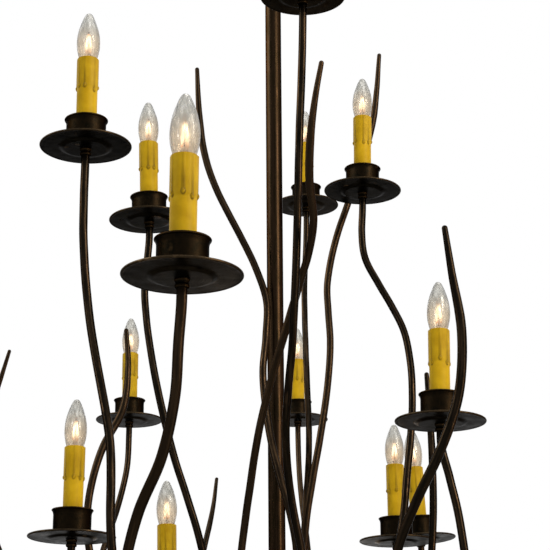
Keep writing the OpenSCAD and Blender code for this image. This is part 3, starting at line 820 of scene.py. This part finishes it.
def ring_middles(node: bpy.types.Object, reach: float) -> list[np.ndarray]:
    """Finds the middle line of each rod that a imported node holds.

    The node's solids are told apart by their triangles. In each, the points that lie within
    reach of each other are one ring of the rod's flat-sided solid. The rings are put in order
    from the hub's axis outwards, each time taking the nearest one left.

    Args:
        node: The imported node.
        reach: More than a ring's own spacing and less than the distance between rings.

    Returns:
        For each rod, the middles of its rings from the hub outwards.
    """
    flat = np.zeros(len(node.data.vertices) * 3, np.float32)
    node.data.vertices.foreach_get("co", flat)
    corners = np.zeros(len(node.data.loops), np.int32)
    node.data.loops.foreach_get("vertex_index", corners)
    places, number = np.unique(np.round(flat.reshape(-1, 3), 5), axis=0, return_inverse=True)
    edges = number.ravel()[corners].reshape(-1, 3)
    joined = np.eye(len(places), dtype=bool)
    for a, b in ((0, 1), (1, 2), (2, 0)):
        joined[edges[:, a], edges[:, b]] = True
    solid = groups(joined | joined.T)
    rods = []
    for k in range(solid.max() + 1):
        own = places[solid == k]
        ring = groups(np.linalg.norm(own[:, None] - own[None], axis=2) < reach)
        middles = np.array([own[ring == i].mean(0) for i in range(ring.max() + 1)])
        order = [int(np.argmin(np.hypot(middles[:, 0], middles[:, 1])))]
        while len(order) < len(middles):
            away = np.linalg.norm(middles - middles[order[-1]], axis=1)
            away[order] = np.inf
            order.append(int(np.argmin(away)))
        rods.append(middles[order])
    return rods


# The lots of the rods whose shade the photograph shows: 0 near black, 1 brown.
SHOWN_LOTS = {
    "arm_01_rod": 0.7, "arm_02_rod": 0.3, "arm_03_rod": 0.18, "arm_04_rod": 0.35,
    "arm_05_rod": 0.02, "arm_07_rod": 0.4, "arm_09_rod": 0.12, "left_twigs_2": 0.72,
    "right_twigs_1": 0.85, "right_twigs_3": 0.14, "front_twigs_1": 0.62, "front_twigs_2": 0.95,
    "front_twigs_3": 0.06, "back_twigs_2": 0.3,
}


@dataclass
class BranchRod:
    """One forged rod, round with soft flats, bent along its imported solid's middle line.

    Attributes:
        name: The piece's name.
        middles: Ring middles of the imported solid, from the hub outwards.
        seed: Sets the hammer's marks.
        twig: Whether the rod ends in a tapered bare tip.
        radius: Half the rod's thickness.
        tip_radius: Half a twig's thickness at its tip.
        taper: How much of a twig's length gets thinner.
        step: Distance between two rings of the new mesh.
        sides: Points in a ring.
    """

    name: str
    middles: np.ndarray
    seed: int
    twig: bool
    radius: float = 5.75 * MM
    tip_radius: float = 3.6 * MM
    taper: float = 110 * MM
    step: float = 6 * MM
    sides: int = 24

    def radii(self, way: np.ndarray) -> np.ndarray:
        """Works out the forged rod's radius.

        It is the plain radius times one, plus eight soft flats that turn slowly along the rod,
        plus a slow change from round to oval, plus shorter waves. The marks fade out near both
        ends, where the rod sits in its hole and in its collar.

        Args:
            way: Distance of each ring from the rod's start.

        Returns:
            Radii of shape (rings, sides).
        """
        phase = np.random.default_rng(self.seed).uniform(0, FULL_TURN, 6)
        turn = steps_round(self.sides)[None]
        s = way[:, None] / MM
        flats = 0.014 * np.cos(8 * turn + 1.3 * np.sin(s / 70 + phase[0]) + phase[1])
        oval = 0.022 * np.sin(s / 41 + phase[2]) * np.cos(2 * turn + phase[3])
        waves = 0.014 * np.sin(s / 15 + 2 * np.sin(s / 53 + phase[4]) + phase[5] + 3 * turn)
        left = way[-1] - way
        marked = fade(way, 30 * MM, 80 * MM)
        plain = self.radius
        if self.twig:
            share = np.clip(left / self.taper, 0, 1)[:, None]
            plain = self.tip_radius + (self.radius - self.tip_radius) * share
        else:
            marked = marked * fade(left, 15 * MM, 40 * MM)
        return plain * (1 + (flats + oval + waves) * marked[:, None])

    def surface(self) -> Surface:
        """Builds the rod's skin. A twig's tip is closed by a half ball.

        Returns:
            The skin.
        """
        line = smooth_line(self.middles, self.step)
        way = travelled(line)
        radii = self.radii(way)
        if self.twig:
            rise = np.linspace(0, math.pi / 2, 6)[1:, None]
            tip = line[-1] + unit(line[-1] - line[-2]) * np.sin(rise) * self.tip_radius
            radii = np.vstack([radii, radii[-1] * np.maximum(np.cos(rise), 0.04)])
            line = np.vstack([line, tip])
            way = travelled(line)
        bench = polar(radii, steps_round(self.sides), way[:, None])
        ridge = np.clip((radii / radii.mean(1, keepdims=True) - 1) / 0.03, 0, 1)
        return Surface(along(line, radii), bench, ridge * 0.5, Ends.CAPPED)

    def build(self, material: bpy.types.Material) -> bpy.types.Object:
        """Makes the rod as a piece."""
        lot = float(np.random.default_rng(self.seed + 500).uniform())
        return make_piece(self.name, [self.surface()], material, SHOWN_LOTS.get(self.name, lot))


# --- Candles ---
@dataclass(frozen=True)
class Candle:
    """Where a candle stands: on the end of its rod, leaning as the rod's end does.

    Attributes:
        number: Counts the candles from 1.
        origin: The middle of its dish's rim.
        axes: Its X, Y and Z directions, as rows.
    """

    number: int
    origin: np.ndarray
    axes: np.ndarray

    @classmethod
    def on_rod(cls, number: int, middles: np.ndarray, rim_above_rod: float) -> "Candle":
        """Stands a candle on a rod's end.

        Args:
            number: The candle's number.
            middles: The rod's ring middles; the last two lie on the candle's axis.
            rim_above_rod: Height of the dish's rim over the rod's end.

        Returns:
            The candle.
        """
        up = unit(middles[-1] - middles[-2])
        across = unit(np.cross([0.0, 1.0, 0.0], up))
        axes = np.array([across, np.cross(up, across), up])
        return cls(number, middles[-1] + up * rim_above_rod, axes)

    def place(self, local: np.ndarray) -> np.ndarray:
        """Moves upright points, in metres about the dish's rim, to where the candle stands."""
        return self.origin + local @ self.axes


@dataclass
class CandleStack:
    """What stands on a rod's end, upright, in mm about the middle of the dish's rim.

    A size that ends in _r is a radius, and one that ends in _t is a thickness.
    """

    candle: Candle
    dish_r: float = 63.5
    dish_t: float = 1.2
    dish_depth: float = 4.0
    step_r: float = 37.0
    step_run: float = 6.0
    step_h: float = 2.6
    bead_r: float = 1.6
    cup_r: float = 27.5
    cup_t: float = 1.2
    lip_r: float = 30.2
    cup_h: float = 38.0
    stem_hole_r: float = 5.2
    rod_r: float = 5.75
    rod_gap: float = 0.2
    sleeve_r: float = 14.5
    sleeve_t: float = 1.6
    sleeve_foot: float = -2.4
    sleeve_top: float = 129.5
    drip_count: int = 8
    drip_len: float = 47.0
    drip_w: float = 1.5
    drip_h: float = 0.5
    bead_h: float = 1.7
    coat_t: float = 0.5
    glass_r: float = 16.4
    glass_low_r: float = 5.95
    glass_mouth_r: float = 12.2
    glass_tip: float = 0.2
    glass_low: float = 106.7
    glass_top: float = 200.5
    glass_t: float = 0.8
    widest: float = 0.5
    tent_foot_r: float = 3.8
    tent_belly: float = 1.2
    tent_top_r: float = 1.2
    tent_foot: float = 136.0
    tent_top: float = 171.0
    loops: int = 7
    filament_r: float = 0.26
    hook_r: float = 0.22
    lead_r: float = 0.35

    def revolved(
        self, profile: np.ndarray, sides: int, wear: np.ndarray | None = None,
        ends: Ends = Ends.JOINED,
    ) -> Surface:
        """Turns a profile in mm and stands it in its place.

        Args:
            profile: Rows of radius and height.
            sides: Points in a ring.
            wear: The wear of each row.
            ends: How the profile's ends are finished.

        Returns:
            The surface.
        """
        local = lathe(profile * MM, sides)
        worn = None if wear is None else np.repeat(wear[:, None], sides, 1)
        return Surface(self.candle.place(local), local, worn, ends)

    def wire(self, line: np.ndarray, radius: float, closed: bool) -> Surface:
        """Draws a six-sided wire along a line in mm and stands it in its place.

        Args:
            line: Points of its middle line.
            radius: Half its thickness in mm.
            closed: Whether its end meets its start.

        Returns:
            The surface.
        """
        local = along(line * MM, np.full((len(line), 6), radius * MM), closed)
        return Surface(self.candle.place(local), local, ends=Ends.JOINED if closed else Ends.CAPPED)

    def dish(self) -> Surface:
        """Spins the drip dish: a flat middle, a pressed step, a shallow rise and a beaded rim.

        Returns:
            The dish.
        """
        floor = -self.dish_depth
        bead = self.dish_r - self.bead_r
        shelf, slope_r, rise_r = floor + self.step_h, self.step_r - self.step_run, self.dish_r - 16
        under = [
            [self.stem_hole_r, floor - self.dish_t], [slope_r, floor - self.dish_t],
            [self.step_r, shelf - self.dish_t], [rise_r, shelf - self.dish_t],
            [bead - 1.4, -2.2],
        ]
        above = [
            [bead - 1.3, -0.1], [rise_r, shelf], [self.step_r - 0.6, shelf],
            [slope_r - 0.6, floor], [self.stem_hole_r, floor],
        ]
        turn = np.radians(np.linspace(-110, 120, 8))
        rim = np.stack([bead + self.bead_r * np.cos(turn), -1 + self.bead_r * np.sin(turn)], 1)
        soft = rounded(np.array(under + above), 1.6)
        cut = len(under) * 5
        profile = np.vstack([soft[:cut - 3], rim, soft[cut + 3:]])
        wear = fade(profile[:, 0], bead - 0.5, self.dish_r) * 0.35
        return self.revolved(profile, 88, wear)

    def collar(self) -> Surface:
        """Turns the collar that the rod's end screws into, under the dish.

        Returns:
            The collar.
        """
        bore = self.rod_r + self.rod_gap
        top = -self.dish_depth - self.dish_t - self.rod_gap
        profile = rounded(np.array([
            [bore, top - 10], [bore + 1, top - 10], [bore + 1.9, top - 9], [bore + 1.9, top - 6.5],
            [bore + 1, top - 5.5], [bore + 1, top - 3.5], [bore + 2.2, top - 2], [bore + 2.2, top],
            [bore, top],
        ]), 0.5)
        wear = fade(profile[:, 0], bore + 1.4, bore + 2.1) * 0.8
        return self.revolved(profile, 40, wear)

    def cup(self) -> Surface:
        """Spins the bell cup: a rounded foot, a plain wall and a lip that flares and curls over.

        Returns:
            The cup.
        """
        r, lip, low, top, t = (
            self.cup_r, self.lip_r, -self.dish_depth + 0.2, self.cup_h, self.cup_t
        )
        profile = rounded(np.array([
            [self.stem_hole_r, low], [r - 7, low], [r - 3.5, low + 1.5], [r - 1, low + 4],
            [r, low + 8], [r, top - 7], [r + (lip - r) * 0.45, top - 3], [lip - 0.3, top - 1.9],
            [lip, top - 0.9], [lip - 0.7, top], [lip - 1.9, top - 0.3],
            [r + (lip - r) * 0.3 - t, top - 2.8], [r - t, top - 7], [r - t, low + 8],
            [r - 2, low + 5], [r - 4.4, low + 2.8], [r - 7.4, low + t], [self.stem_hole_r, low + t],
        ]), 1.5)
        wear = fade(profile[:, 0], lip - 0.9, lip) + 0.25 * fade(-profile[:, 1], 0.0, 4.0)
        return self.revolved(profile, 72, wear)

    def sleeve(self) -> Surface:
        """Casts the candle sleeve with its wax runs.

        A run stands proud by sqrt(1 - d^2) of its height, where d is the distance from its
        middle line over its half width. It ends in a bead, an upright half egg, that stands out
        further. Painted shade sits along each run's crease, partly its own darker wax, more near
        its end, and round the bead; the mouth is darker, the coat a little darker in tone, and
        painted shade darkens the inside further down.

        Returns:
            The sleeve.
        """
        rng = np.random.default_rng(70 + self.candle.number)
        count, sides, r, top = self.drip_count, 128, self.sleeve_r, self.sleeve_top
        fine = np.arange(top - 56, top - 0.7, 1.15)
        height = np.concatenate([[self.sleeve_foot, 24.0, 36.0, 52.0, 66.0], fine])
        middle = (np.arange(count) + rng.uniform(-0.16, 0.16, count)) / count * FULL_TURN
        end = top - self.drip_len + rng.uniform(-3.5, 3.0, count)
        width = (self.drip_w * rng.uniform(0.88, 1.15, count))[:, None, None]
        turn = steps_round(sides)
        apart = (turn[None, :] - middle[:, None] + math.pi) % FULL_TURN - math.pi
        across = r * apart[:, None, :]
        up = height[None, :, None] - end[:, None, None]
        run2 = (across / width) ** 2 + (np.minimum(up - 2, 0) / 2.0) ** 2
        bead2 = (across / (1.3 * width)) ** 2 + ((up - 1.0) / 3.0) ** 2
        proud = np.maximum(
            self.drip_h * np.sqrt(np.clip(1 - run2, 0, 1)),
            self.bead_h * np.sqrt(np.clip(1 - bead2, 0, 1)),
        )
        # Painted shade along each run's crease, partly the run's own darker wax, stronger towards
        # its end.
        run_shade = np.exp(-((across / (1.5 * width)) ** 2)) * fade(up, -1.0, 2.0)
        run_shade = run_shade * (0.35 + 0.5 * fade(-up, -40.0, 0.0))
        # Painted shade: a dark edge round each bead.
        ring = np.exp(-((np.sqrt(bead2) - 1.1) / 0.35) ** 2)
        level = height[:, None]
        lip = 0.25 * np.exp(-((level - top + 1.6) / 1.3) ** 2)
        # Darker at the sleeve's mouth.
        mouth = 0.4 * np.exp(-((level - top + 0.6) / 1.1) ** 2)
        coat = fade(level - end.mean(), -1.0, 3.0)
        radius = r - 0.15 + np.maximum(self.coat_t * coat + proud.max(0), lip)
        # The coat is a little darker in tone; each point takes the most of painted shade, mouth and
        # coat.
        shade_and_tone = np.maximum(np.maximum(run_shade, ring).max(0), np.maximum(0.16 * coat, mouth))
        inner = r - self.sleeve_t
        edge = np.array([[r - 0.15, top - 0.3], [r - 0.6, top], [inner + 0.4, top],
                         [inner, top - 0.5], [inner, top - 30], [inner, self.sleeve_foot]])
        local = np.concatenate([polar(radius, turn, level), lathe(edge, sides)]) * MM
        # Painted shade on the inner wall, darker further down.
        inner_shade = np.array([0.0, 0.0, 0.2, 0.5, 0.8, 0.8])[:, None]
        wear = np.vstack([shade_and_tone, np.repeat(inner_shade, sides, 1)])
        return Surface(self.candle.place(local), local, wear)

    def glass_radius(self, share: np.ndarray) -> np.ndarray:
        """Radius of the bulb at a share of its height.

        Below the widest place it swells by a power of a sine, which is chosen so that the glass
        passes the sleeve's mouth at its radius there. Above it, a share t of the way down from
        the tip, it is a power of a sine of t, a full ogive, on top of a small round tip.

        Args:
            share: Shares of the height, 0 at the foot and 1 at the tip.

        Returns:
            The radii in mm.
        """
        spread = self.glass_r - self.glass_low_r
        mouth = (self.sleeve_top - self.glass_low) / (self.glass_top - self.glass_low)
        power = math.log((self.glass_mouth_r - self.glass_low_r) / spread) / math.log(
            math.sin(math.pi / 2 * mouth / self.widest)
        )
        swell = np.sin(math.pi / 2 * np.clip(share / self.widest, 0, 1)) ** power
        t = np.clip((1 - share) / (1 - self.widest), 0, 1)
        tip = np.sqrt(1 - (1 - np.minimum(t / 0.09, 1)) ** 2)
        ogive = self.glass_tip * tip + (1 - self.glass_tip) * np.sin(math.pi / 2 * t) ** 0.87
        low = self.glass_low_r + spread * swell
        return np.where(share < self.widest, low, self.glass_r * ogive)

    def glass(self) -> Surface:
        """Blows the lamp's glass: an inner and an outer skin, joined at the neck.

        Returns:
            Both skins, as one surface.
        """
        share = (1 - (1 - np.linspace(0, 1, 40)) ** 1.7)[:-1]
        outer = self.glass_radius(share)
        tall = self.glass_top - self.glass_low
        up = np.stack([outer, self.glass_low + tall * share], 1)
        inside = np.maximum(outer - self.glass_t, 0.1)
        down = np.stack([inside, self.glass_low + (tall - self.glass_t) * share], 1)[::-1]
        return self.revolved(np.vstack([down, up]), 48, ends=Ends.CAPPED)

    def filament(self) -> Surface:
        """Winds the filament: it goes up and down between two rings of hooks, as a tent's ropes do.

        The height is a wave between foot and top. The radius goes evenly from the foot's to the
        top's with it, plus a belly, a sine, halfway up.

        Returns:
            The filament.
        """
        t = np.linspace(0, 1, self.loops * 14, endpoint=False)
        share = 0.5 + np.arcsin(0.985 * np.sin(FULL_TURN * self.loops * t)) / math.pi
        radius = self.tent_foot_r + (self.tent_top_r - self.tent_foot_r) * share
        radius = radius + self.tent_belly * np.sin(math.pi * share)
        height = self.tent_foot + (self.tent_top - self.tent_foot) * share
        return self.wire(polar(radius, FULL_TURN * t, height), self.filament_r, True)

    def mount(self) -> list[Surface]:
        """Makes the glass-press stem, its centre wire with two hook rings, and two lead wires.

        Returns:
            Its parts.
        """
        low, foot, top = self.glass_low + 0.2, self.tent_foot, self.tent_top
        press = foot - 6
        stem = np.array([
            [3.6, low], [3.5, low + 2], [2.2, press - 3], [2.0, press], [1.2, press + 1]
        ])
        centre = np.array([[0.45, press - 1], [0.45, top], [0.35, top + 3]])
        parts = [
            self.revolved(stem, 20, ends=Ends.CAPPED),
            self.revolved(centre, 8, ends=Ends.CAPPED),
        ]
        for radius, level in ((self.tent_foot_r, foot), (self.tent_top_r, top)):
            hooks = polar(radius, steps_round(28), level)
            parts.append(self.wire(hooks, self.hook_r, True))
        t = np.linspace(0, 1, 9)
        for side in (-1, 1):
            bow = side * (1.4 + (self.tent_foot_r - 1.4) * t**2)
            lead = [bow, np.zeros(9), press - 1 + (foot - press + 1) * t]
            parts.append(self.wire(np.stack(lead, 1), self.lead_r, False))
        return parts

    def build(self, finishes: Materials) -> None:
        """Makes and registers every new piece of one candle.

        Args:
            finishes: The materials.
        """
        number = self.candle.number
        lot = float(np.random.default_rng(900 + number).uniform())
        plan = [
            ("drip_dish", [self.dish()], "bronze_dish", "drip_dishes", "bronze_dish"),
            ("arm_collar", [self.collar()], "bronze_cup", "arm_collars", "bronze_turned"),
            ("candle_cup", [self.cup()], "bronze_cup", "candle_cups", "bronze_cup"),
            ("candle_sleeve", [self.sleeve()], "wax_sleeve", "candle_sleeves", "wax_sleeve"),
            ("bulb_glass", [self.glass()], "clear_glass", "bulb_glasses", "clear_glass"),
            ("bulb_filament", [self.filament()], "lamp_filament", "bulb_filaments",
             "lamp_filament"),
            ("bulb_mount", self.mount(), "lead_wire", "bulb_filaments", "lamp_filament"),
        ]
        for kind, surfaces, finish, node, slot in plan:
            piece = make_piece(f"{kind}_{number:02d}", surfaces, finishes[finish], lot)
            register(piece, node)


# --- Hanging parts ---
@dataclass
class Hanger:
    """The pole and the link, rebuilt smooth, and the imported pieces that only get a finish."""

    pole_sides: int = 64
    wall: float = 2.85 * MM
    bevel: float = 0.5 * MM
    link_wire: float = 7 * MM

    def pole(self) -> Surface:
        """Draws the pole: an outer wall and a bore, with a small bevel at each end.

        Returns:
            The pole.
        """
        low, high = (np.array(corner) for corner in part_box("pole"))
        outer = (high[0] - low[0]) / 2
        inner, small = outer - self.wall, outer - self.bevel
        levels = np.linspace(low[2] + self.bevel, high[2] - self.bevel, 40)
        profile = np.vstack([
            [[small, low[2]]], np.stack([np.full(40, outer), levels], 1),
            [[small, high[2]], [inner, high[2]], [inner, low[2]]],
        ])
        rings = lathe(profile, self.pole_sides)
        return Surface(rings, rings)

    def link(self) -> Surface:
        """Bends the link: two half circles and two straight sides in the XZ plane.

        Returns:
            The link.
        """
        low, high = (np.array(corner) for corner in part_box("link"))
        wire = self.link_wire / 2
        bend = (high[0] - low[0]) / 2 - wire
        top, bottom = high[2] - wire - bend, low[2] + wire + bend
        turn = np.linspace(0, math.pi, 24)
        side = np.linspace(0, 1, 8)[1:-1]
        upper = np.stack([bend * np.cos(turn), top + bend * np.sin(turn)], 1)
        lower = np.stack([-bend * np.cos(turn), bottom - bend * np.sin(turn)], 1)
        left = np.stack([np.full(6, -bend), top + (bottom - top) * side], 1)
        right = np.stack([np.full(6, bend), bottom + (top - bottom) * side], 1)
        loop = np.vstack([upper, left, lower, right])
        line = np.stack([loop[:, 0], np.zeros(len(loop)), loop[:, 1]], 1)
        rings = along(line, np.full((len(line), 20), wire), closed=True)
        return Surface(rings, rings)

    def build(self, nodes: dict[str, bpy.types.Object], finishes: Materials) -> None:
        """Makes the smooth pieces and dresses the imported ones.

        Args:
            nodes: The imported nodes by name.
            finishes: The materials.
        """
        tube = make_piece("pole_tube", [self.pole()], finishes["bronze_pole"])
        register(tube, "pole")
        ring = make_piece("link_ring", [self.link()], finishes["bronze_cup"])
        register(ring, "link")
        for name, node in nodes.items():
            for k, old in enumerate(node.data.materials):
                node.data.materials[k] = finishes[old.name.split(".")[0]]
            LOG.info("%s keeps its shape unless a new piece replaces it", name)


# --- Studio ---
class Lamp(Enum):
    """What a lamp does."""

    LIGHT = "lights, and shows in what is polished"
    FILL = "lights only"
    SHEEN = "bronze"  # it only shows in what has this word in its finish's name
    GLINT = "glass"  # and this one in what has this word there


MIDDLE = (0.0, 0.0, -1.3)
# Name, place, aim, width and height, watts, colour and what it does.
LAMPS = [
    ("key_right", (2.2, -2.1, 0.1), MIDDLE, (1.2, 1.6), 66, "#fff4e0", Lamp.LIGHT),
    ("fill_left", (-2.8, -1.2, -1.1), MIDDLE, (2.2, 2.6), 16, "#f1f3f0", Lamp.FILL),
    ("box_above", (0.4, -0.6, 1.6), MIDDLE, (2.2, 2.2), 45, "#fffaf2", Lamp.LIGHT),
    ("strip_right", (2.52, -1.97, -0.9), MIDDLE, (1.1, 3.0), 30, "#ffe6c8", Lamp.SHEEN),
    ("edge_right", (2.44, -1.9, -0.9), MIDDLE, (0.24, 2.6), 50, "#ffdcb0", Lamp.SHEEN),
    ("card_right", (2.9, 0.4, -1.3), MIDDLE, (1.6, 2.4), 22, "#d88a54", Lamp.SHEEN),
    ("high_left", (-2.2, 0.0, 1.1), (0, 0, -1.0), (2.4, 1.8), 50, "#f2efe6", Lamp.SHEEN),
    ("high_right", (2.2, 0.0, 1.1), (0, 0, -1.0), (2.4, 1.8), 18, "#fff0dc", Lamp.SHEEN),
    ("glint_left", (-1.7, -2.45, -0.4), MIDDLE, (0.3, 1.4), 11, "#ffffff", Lamp.GLINT),
    ("low_back", (0.0, 2.2, -2.15), (0, -0.3, -1.4), (0.3, 0.6), 1.6, "#ffdcb0", Lamp.SHEEN),
    ("sheen_left", (-3.2, 0.2, 0.75), (0, 0, -0.6), (4.4, 1.6), 215, "#f4eee2", Lamp.SHEEN),
]


@dataclass(frozen=True)
class Studio:
    """A plain pale floor, soft lamps, a white surround and the photograph's camera.

    Attributes:
        place: The camera's place.
        pitch: How far it looks up, in degrees.
        roll: How far it is turned about its own axis, in degrees.
        focal_px: Its focal length in pixels of a frame that is frame_px wide.
        sensor: The width of its sensor in mm.
        floor_drop: The floor's distance below the object.
        floor_r: The floor's radius.
        floor_t: Its thickness.
        fade_from: Distance from its middle where it starts to fade to white.
        fade_to: Distance where it is white.
        fill: Strength of the surround's light on the object.
    """

    place: tuple[float, float, float] = (0.0, -2.745, -2.0)
    pitch: float = 17.7
    roll: float = -0.43
    focal_px: float = 1770.0
    frame_px: float = 550.0
    sensor: float = 36.0
    floor_drop: float = 0.55
    floor_r: float = 9.0
    floor_t: float = 0.02
    fade_from: float = 3.2
    fade_to: float = 6.5
    fill: float = 0.5

    def camera(self) -> None:
        """Sets the camera up."""
        data = bpy.data.cameras.new("photo_camera")
        data.sensor_width = self.sensor
        data.lens = self.focal_px / self.frame_px * self.sensor
        camera = bpy.data.objects.new("photo_camera", data)
        aim = Matrix.Rotation(math.radians(90 + self.pitch), 4, "X")
        turned = Matrix.Rotation(math.radians(self.roll), 4, "Z")
        camera.matrix_world = Matrix.Translation(self.place) @ aim @ turned
        bpy.context.scene.collection.objects.link(camera)
        bpy.context.scene.camera = camera

    def seen(self, add: Add) -> Socket:
        """Adds the test for rays that should meet plain white.

        Args:
            add: Adds a node.

        Returns:
            A socket that is 1 on camera, glossy and transmission rays.
        """
        ray = add("LightPath", out="Is Camera Ray")
        for kind in ("Is Glossy Ray", "Is Transmission Ray"):
            other = add("LightPath", out=kind)
            ray = add("Math", {0: ray, 1: other}, operation="MAXIMUM")
        return ray

    def surround(self) -> None:
        """Sets the world: white where it is seen, a soft even light where it lights."""
        world = bpy.data.worlds.new("white_surround")
        world.use_nodes = True
        world.node_tree.nodes.clear()
        add = partial(add_node, world.node_tree)
        light = add("Background", {"Color": linear("#fbfaf7"), "Strength": self.fill})
        white = add("Background", {"Color": linear("#ffffff"), "Strength": 1.0})
        both = add("MixShader", {0: self.seen(add), 1: light, 2: white})
        add("OutputWorld", {0: both})
        bpy.context.scene.world = world

    def floor(self, lowest: float) -> None:
        """Lays the floor, which keeps the object's shadow and fades to white far out.

        Args:
            lowest: Height of the object's lowest point.
        """
        material, add = new_material("pale_floor")
        matt = add("BsdfDiffuse", {"Color": linear("#efedea")})
        white = add("Emission", {"Color": linear("#ffffff"), "Strength": 1.0})
        place = add("TexCoord", out="Object")
        far = add("VectorMath", {0: place}, "Value", operation="LENGTH")
        out = add(
            "MapRange", {"Value": far, "From Min": self.fade_from, "From Max": self.fade_to},
            interpolation_type="SMOOTHSTEP",
        )
        share = add("Math", {0: out, 1: self.seen(add)}, operation="MULTIPLY")
        both = add("MixShader", {0: share, 1: matt, 2: white})
        add("OutputMaterial", {0: both})
        level = lowest - self.floor_drop
        under = level - self.floor_t
        profile = [[0.4, level], [3.0, level], [self.floor_r, level], [self.floor_r, under]]
        disc = lathe(np.array(profile), 96)
        floor = make_piece("floor", [Surface(disc, disc, ends=Ends.CAPPED)], material)
        floor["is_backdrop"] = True

    def dressed(self, finish: str) -> bpy.types.Collection:
        """Gathers the pieces that a card's glare falls on.

        Args:
            finish: A word that their materials' names hold.

        Returns:
            A collection of them.
        """
        pieces = bpy.data.collections.get(finish)
        if pieces is None:
            pieces = bpy.data.collections.new(finish)
            for piece in bpy.context.scene.objects:
                worn = piece.data.materials if piece.type == "MESH" else ()
                if any(m and finish in m.name for m in worn):
                    pieces.objects.link(piece)
        return pieces

    def lamps(self) -> None:
        """Hangs the rectangular lamps, which the camera doesn't see."""
        for name, place, aim, (width, height), watts, colour, kind in LAMPS:
            data = bpy.data.lights.new(name, "AREA")
            data.shape = "RECTANGLE"
            data.size, data.size_y = width, height
            data.energy = watts
            data.color = linear(colour)[:3]
            lamp = bpy.data.objects.new(name, data)
            lamp.location = place
            lamp.rotation_euler = (Vector(aim) - Vector(place)).to_track_quat("-Z", "Y").to_euler()
            lamp.visible_camera = False
            lamp.visible_diffuse = kind in (Lamp.LIGHT, Lamp.FILL)
            lamp.visible_glossy = kind is not Lamp.FILL
            if kind in (Lamp.SHEEN, Lamp.GLINT):
                lamp.light_linking.receiver_collection = self.dressed(kind.value)
            bpy.context.scene.collection.objects.link(lamp)


def main() -> None:
    """Loads the frame, builds every sub-assembly and sets the studio up around it."""
    logging.basicConfig(level=logging.INFO, format="%(name)s: %(message)s")
    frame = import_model()
    cad_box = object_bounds()
    for body, nodes in frame["record"]["behaviour"]["bodies"].items():
        NODE_BODY.update({node: body for node in nodes})

    finishes = {slot: finish.material() for slot, finish in FINISHES.items()}
    Hanger().build(frame["nodes"], finishes)

    stack = CandleStack
    rim_above_rod = (stack.dish_depth + stack.dish_t + stack.rod_gap) * MM
    ring_reach = 5.2 * MM
    for number in range(1, CANDLES + 1):
        node = f"arm_{number:02d}"
        middles = ring_middles(frame["nodes"][node], ring_reach)[0]
        rod = BranchRod(f"{node}_rod", middles, seed=number, twig=False)
        register(rod.build(finishes["bronze_rod"]), node)
        stack(Candle.on_rod(number, middles, rim_above_rod)).build(finishes)
    for side, node in enumerate(("left_twigs", "right_twigs", "front_twigs", "back_twigs")):
        for k, middles in enumerate(ring_middles(frame["nodes"][node], ring_reach)):
            rod = BranchRod(f"{node}_{k + 1}", middles, seed=100 + 10 * side + k, twig=True)
            register(rod.build(finishes["bronze_rod"]), node)

    studio = Studio()
    studio.camera()
    studio.surround()
    studio.floor(cad_box[0].z)
    studio.lamps()
    bpy.context.scene.view_settings.view_transform = "Standard"


if __name__ == "__main__":
    main()
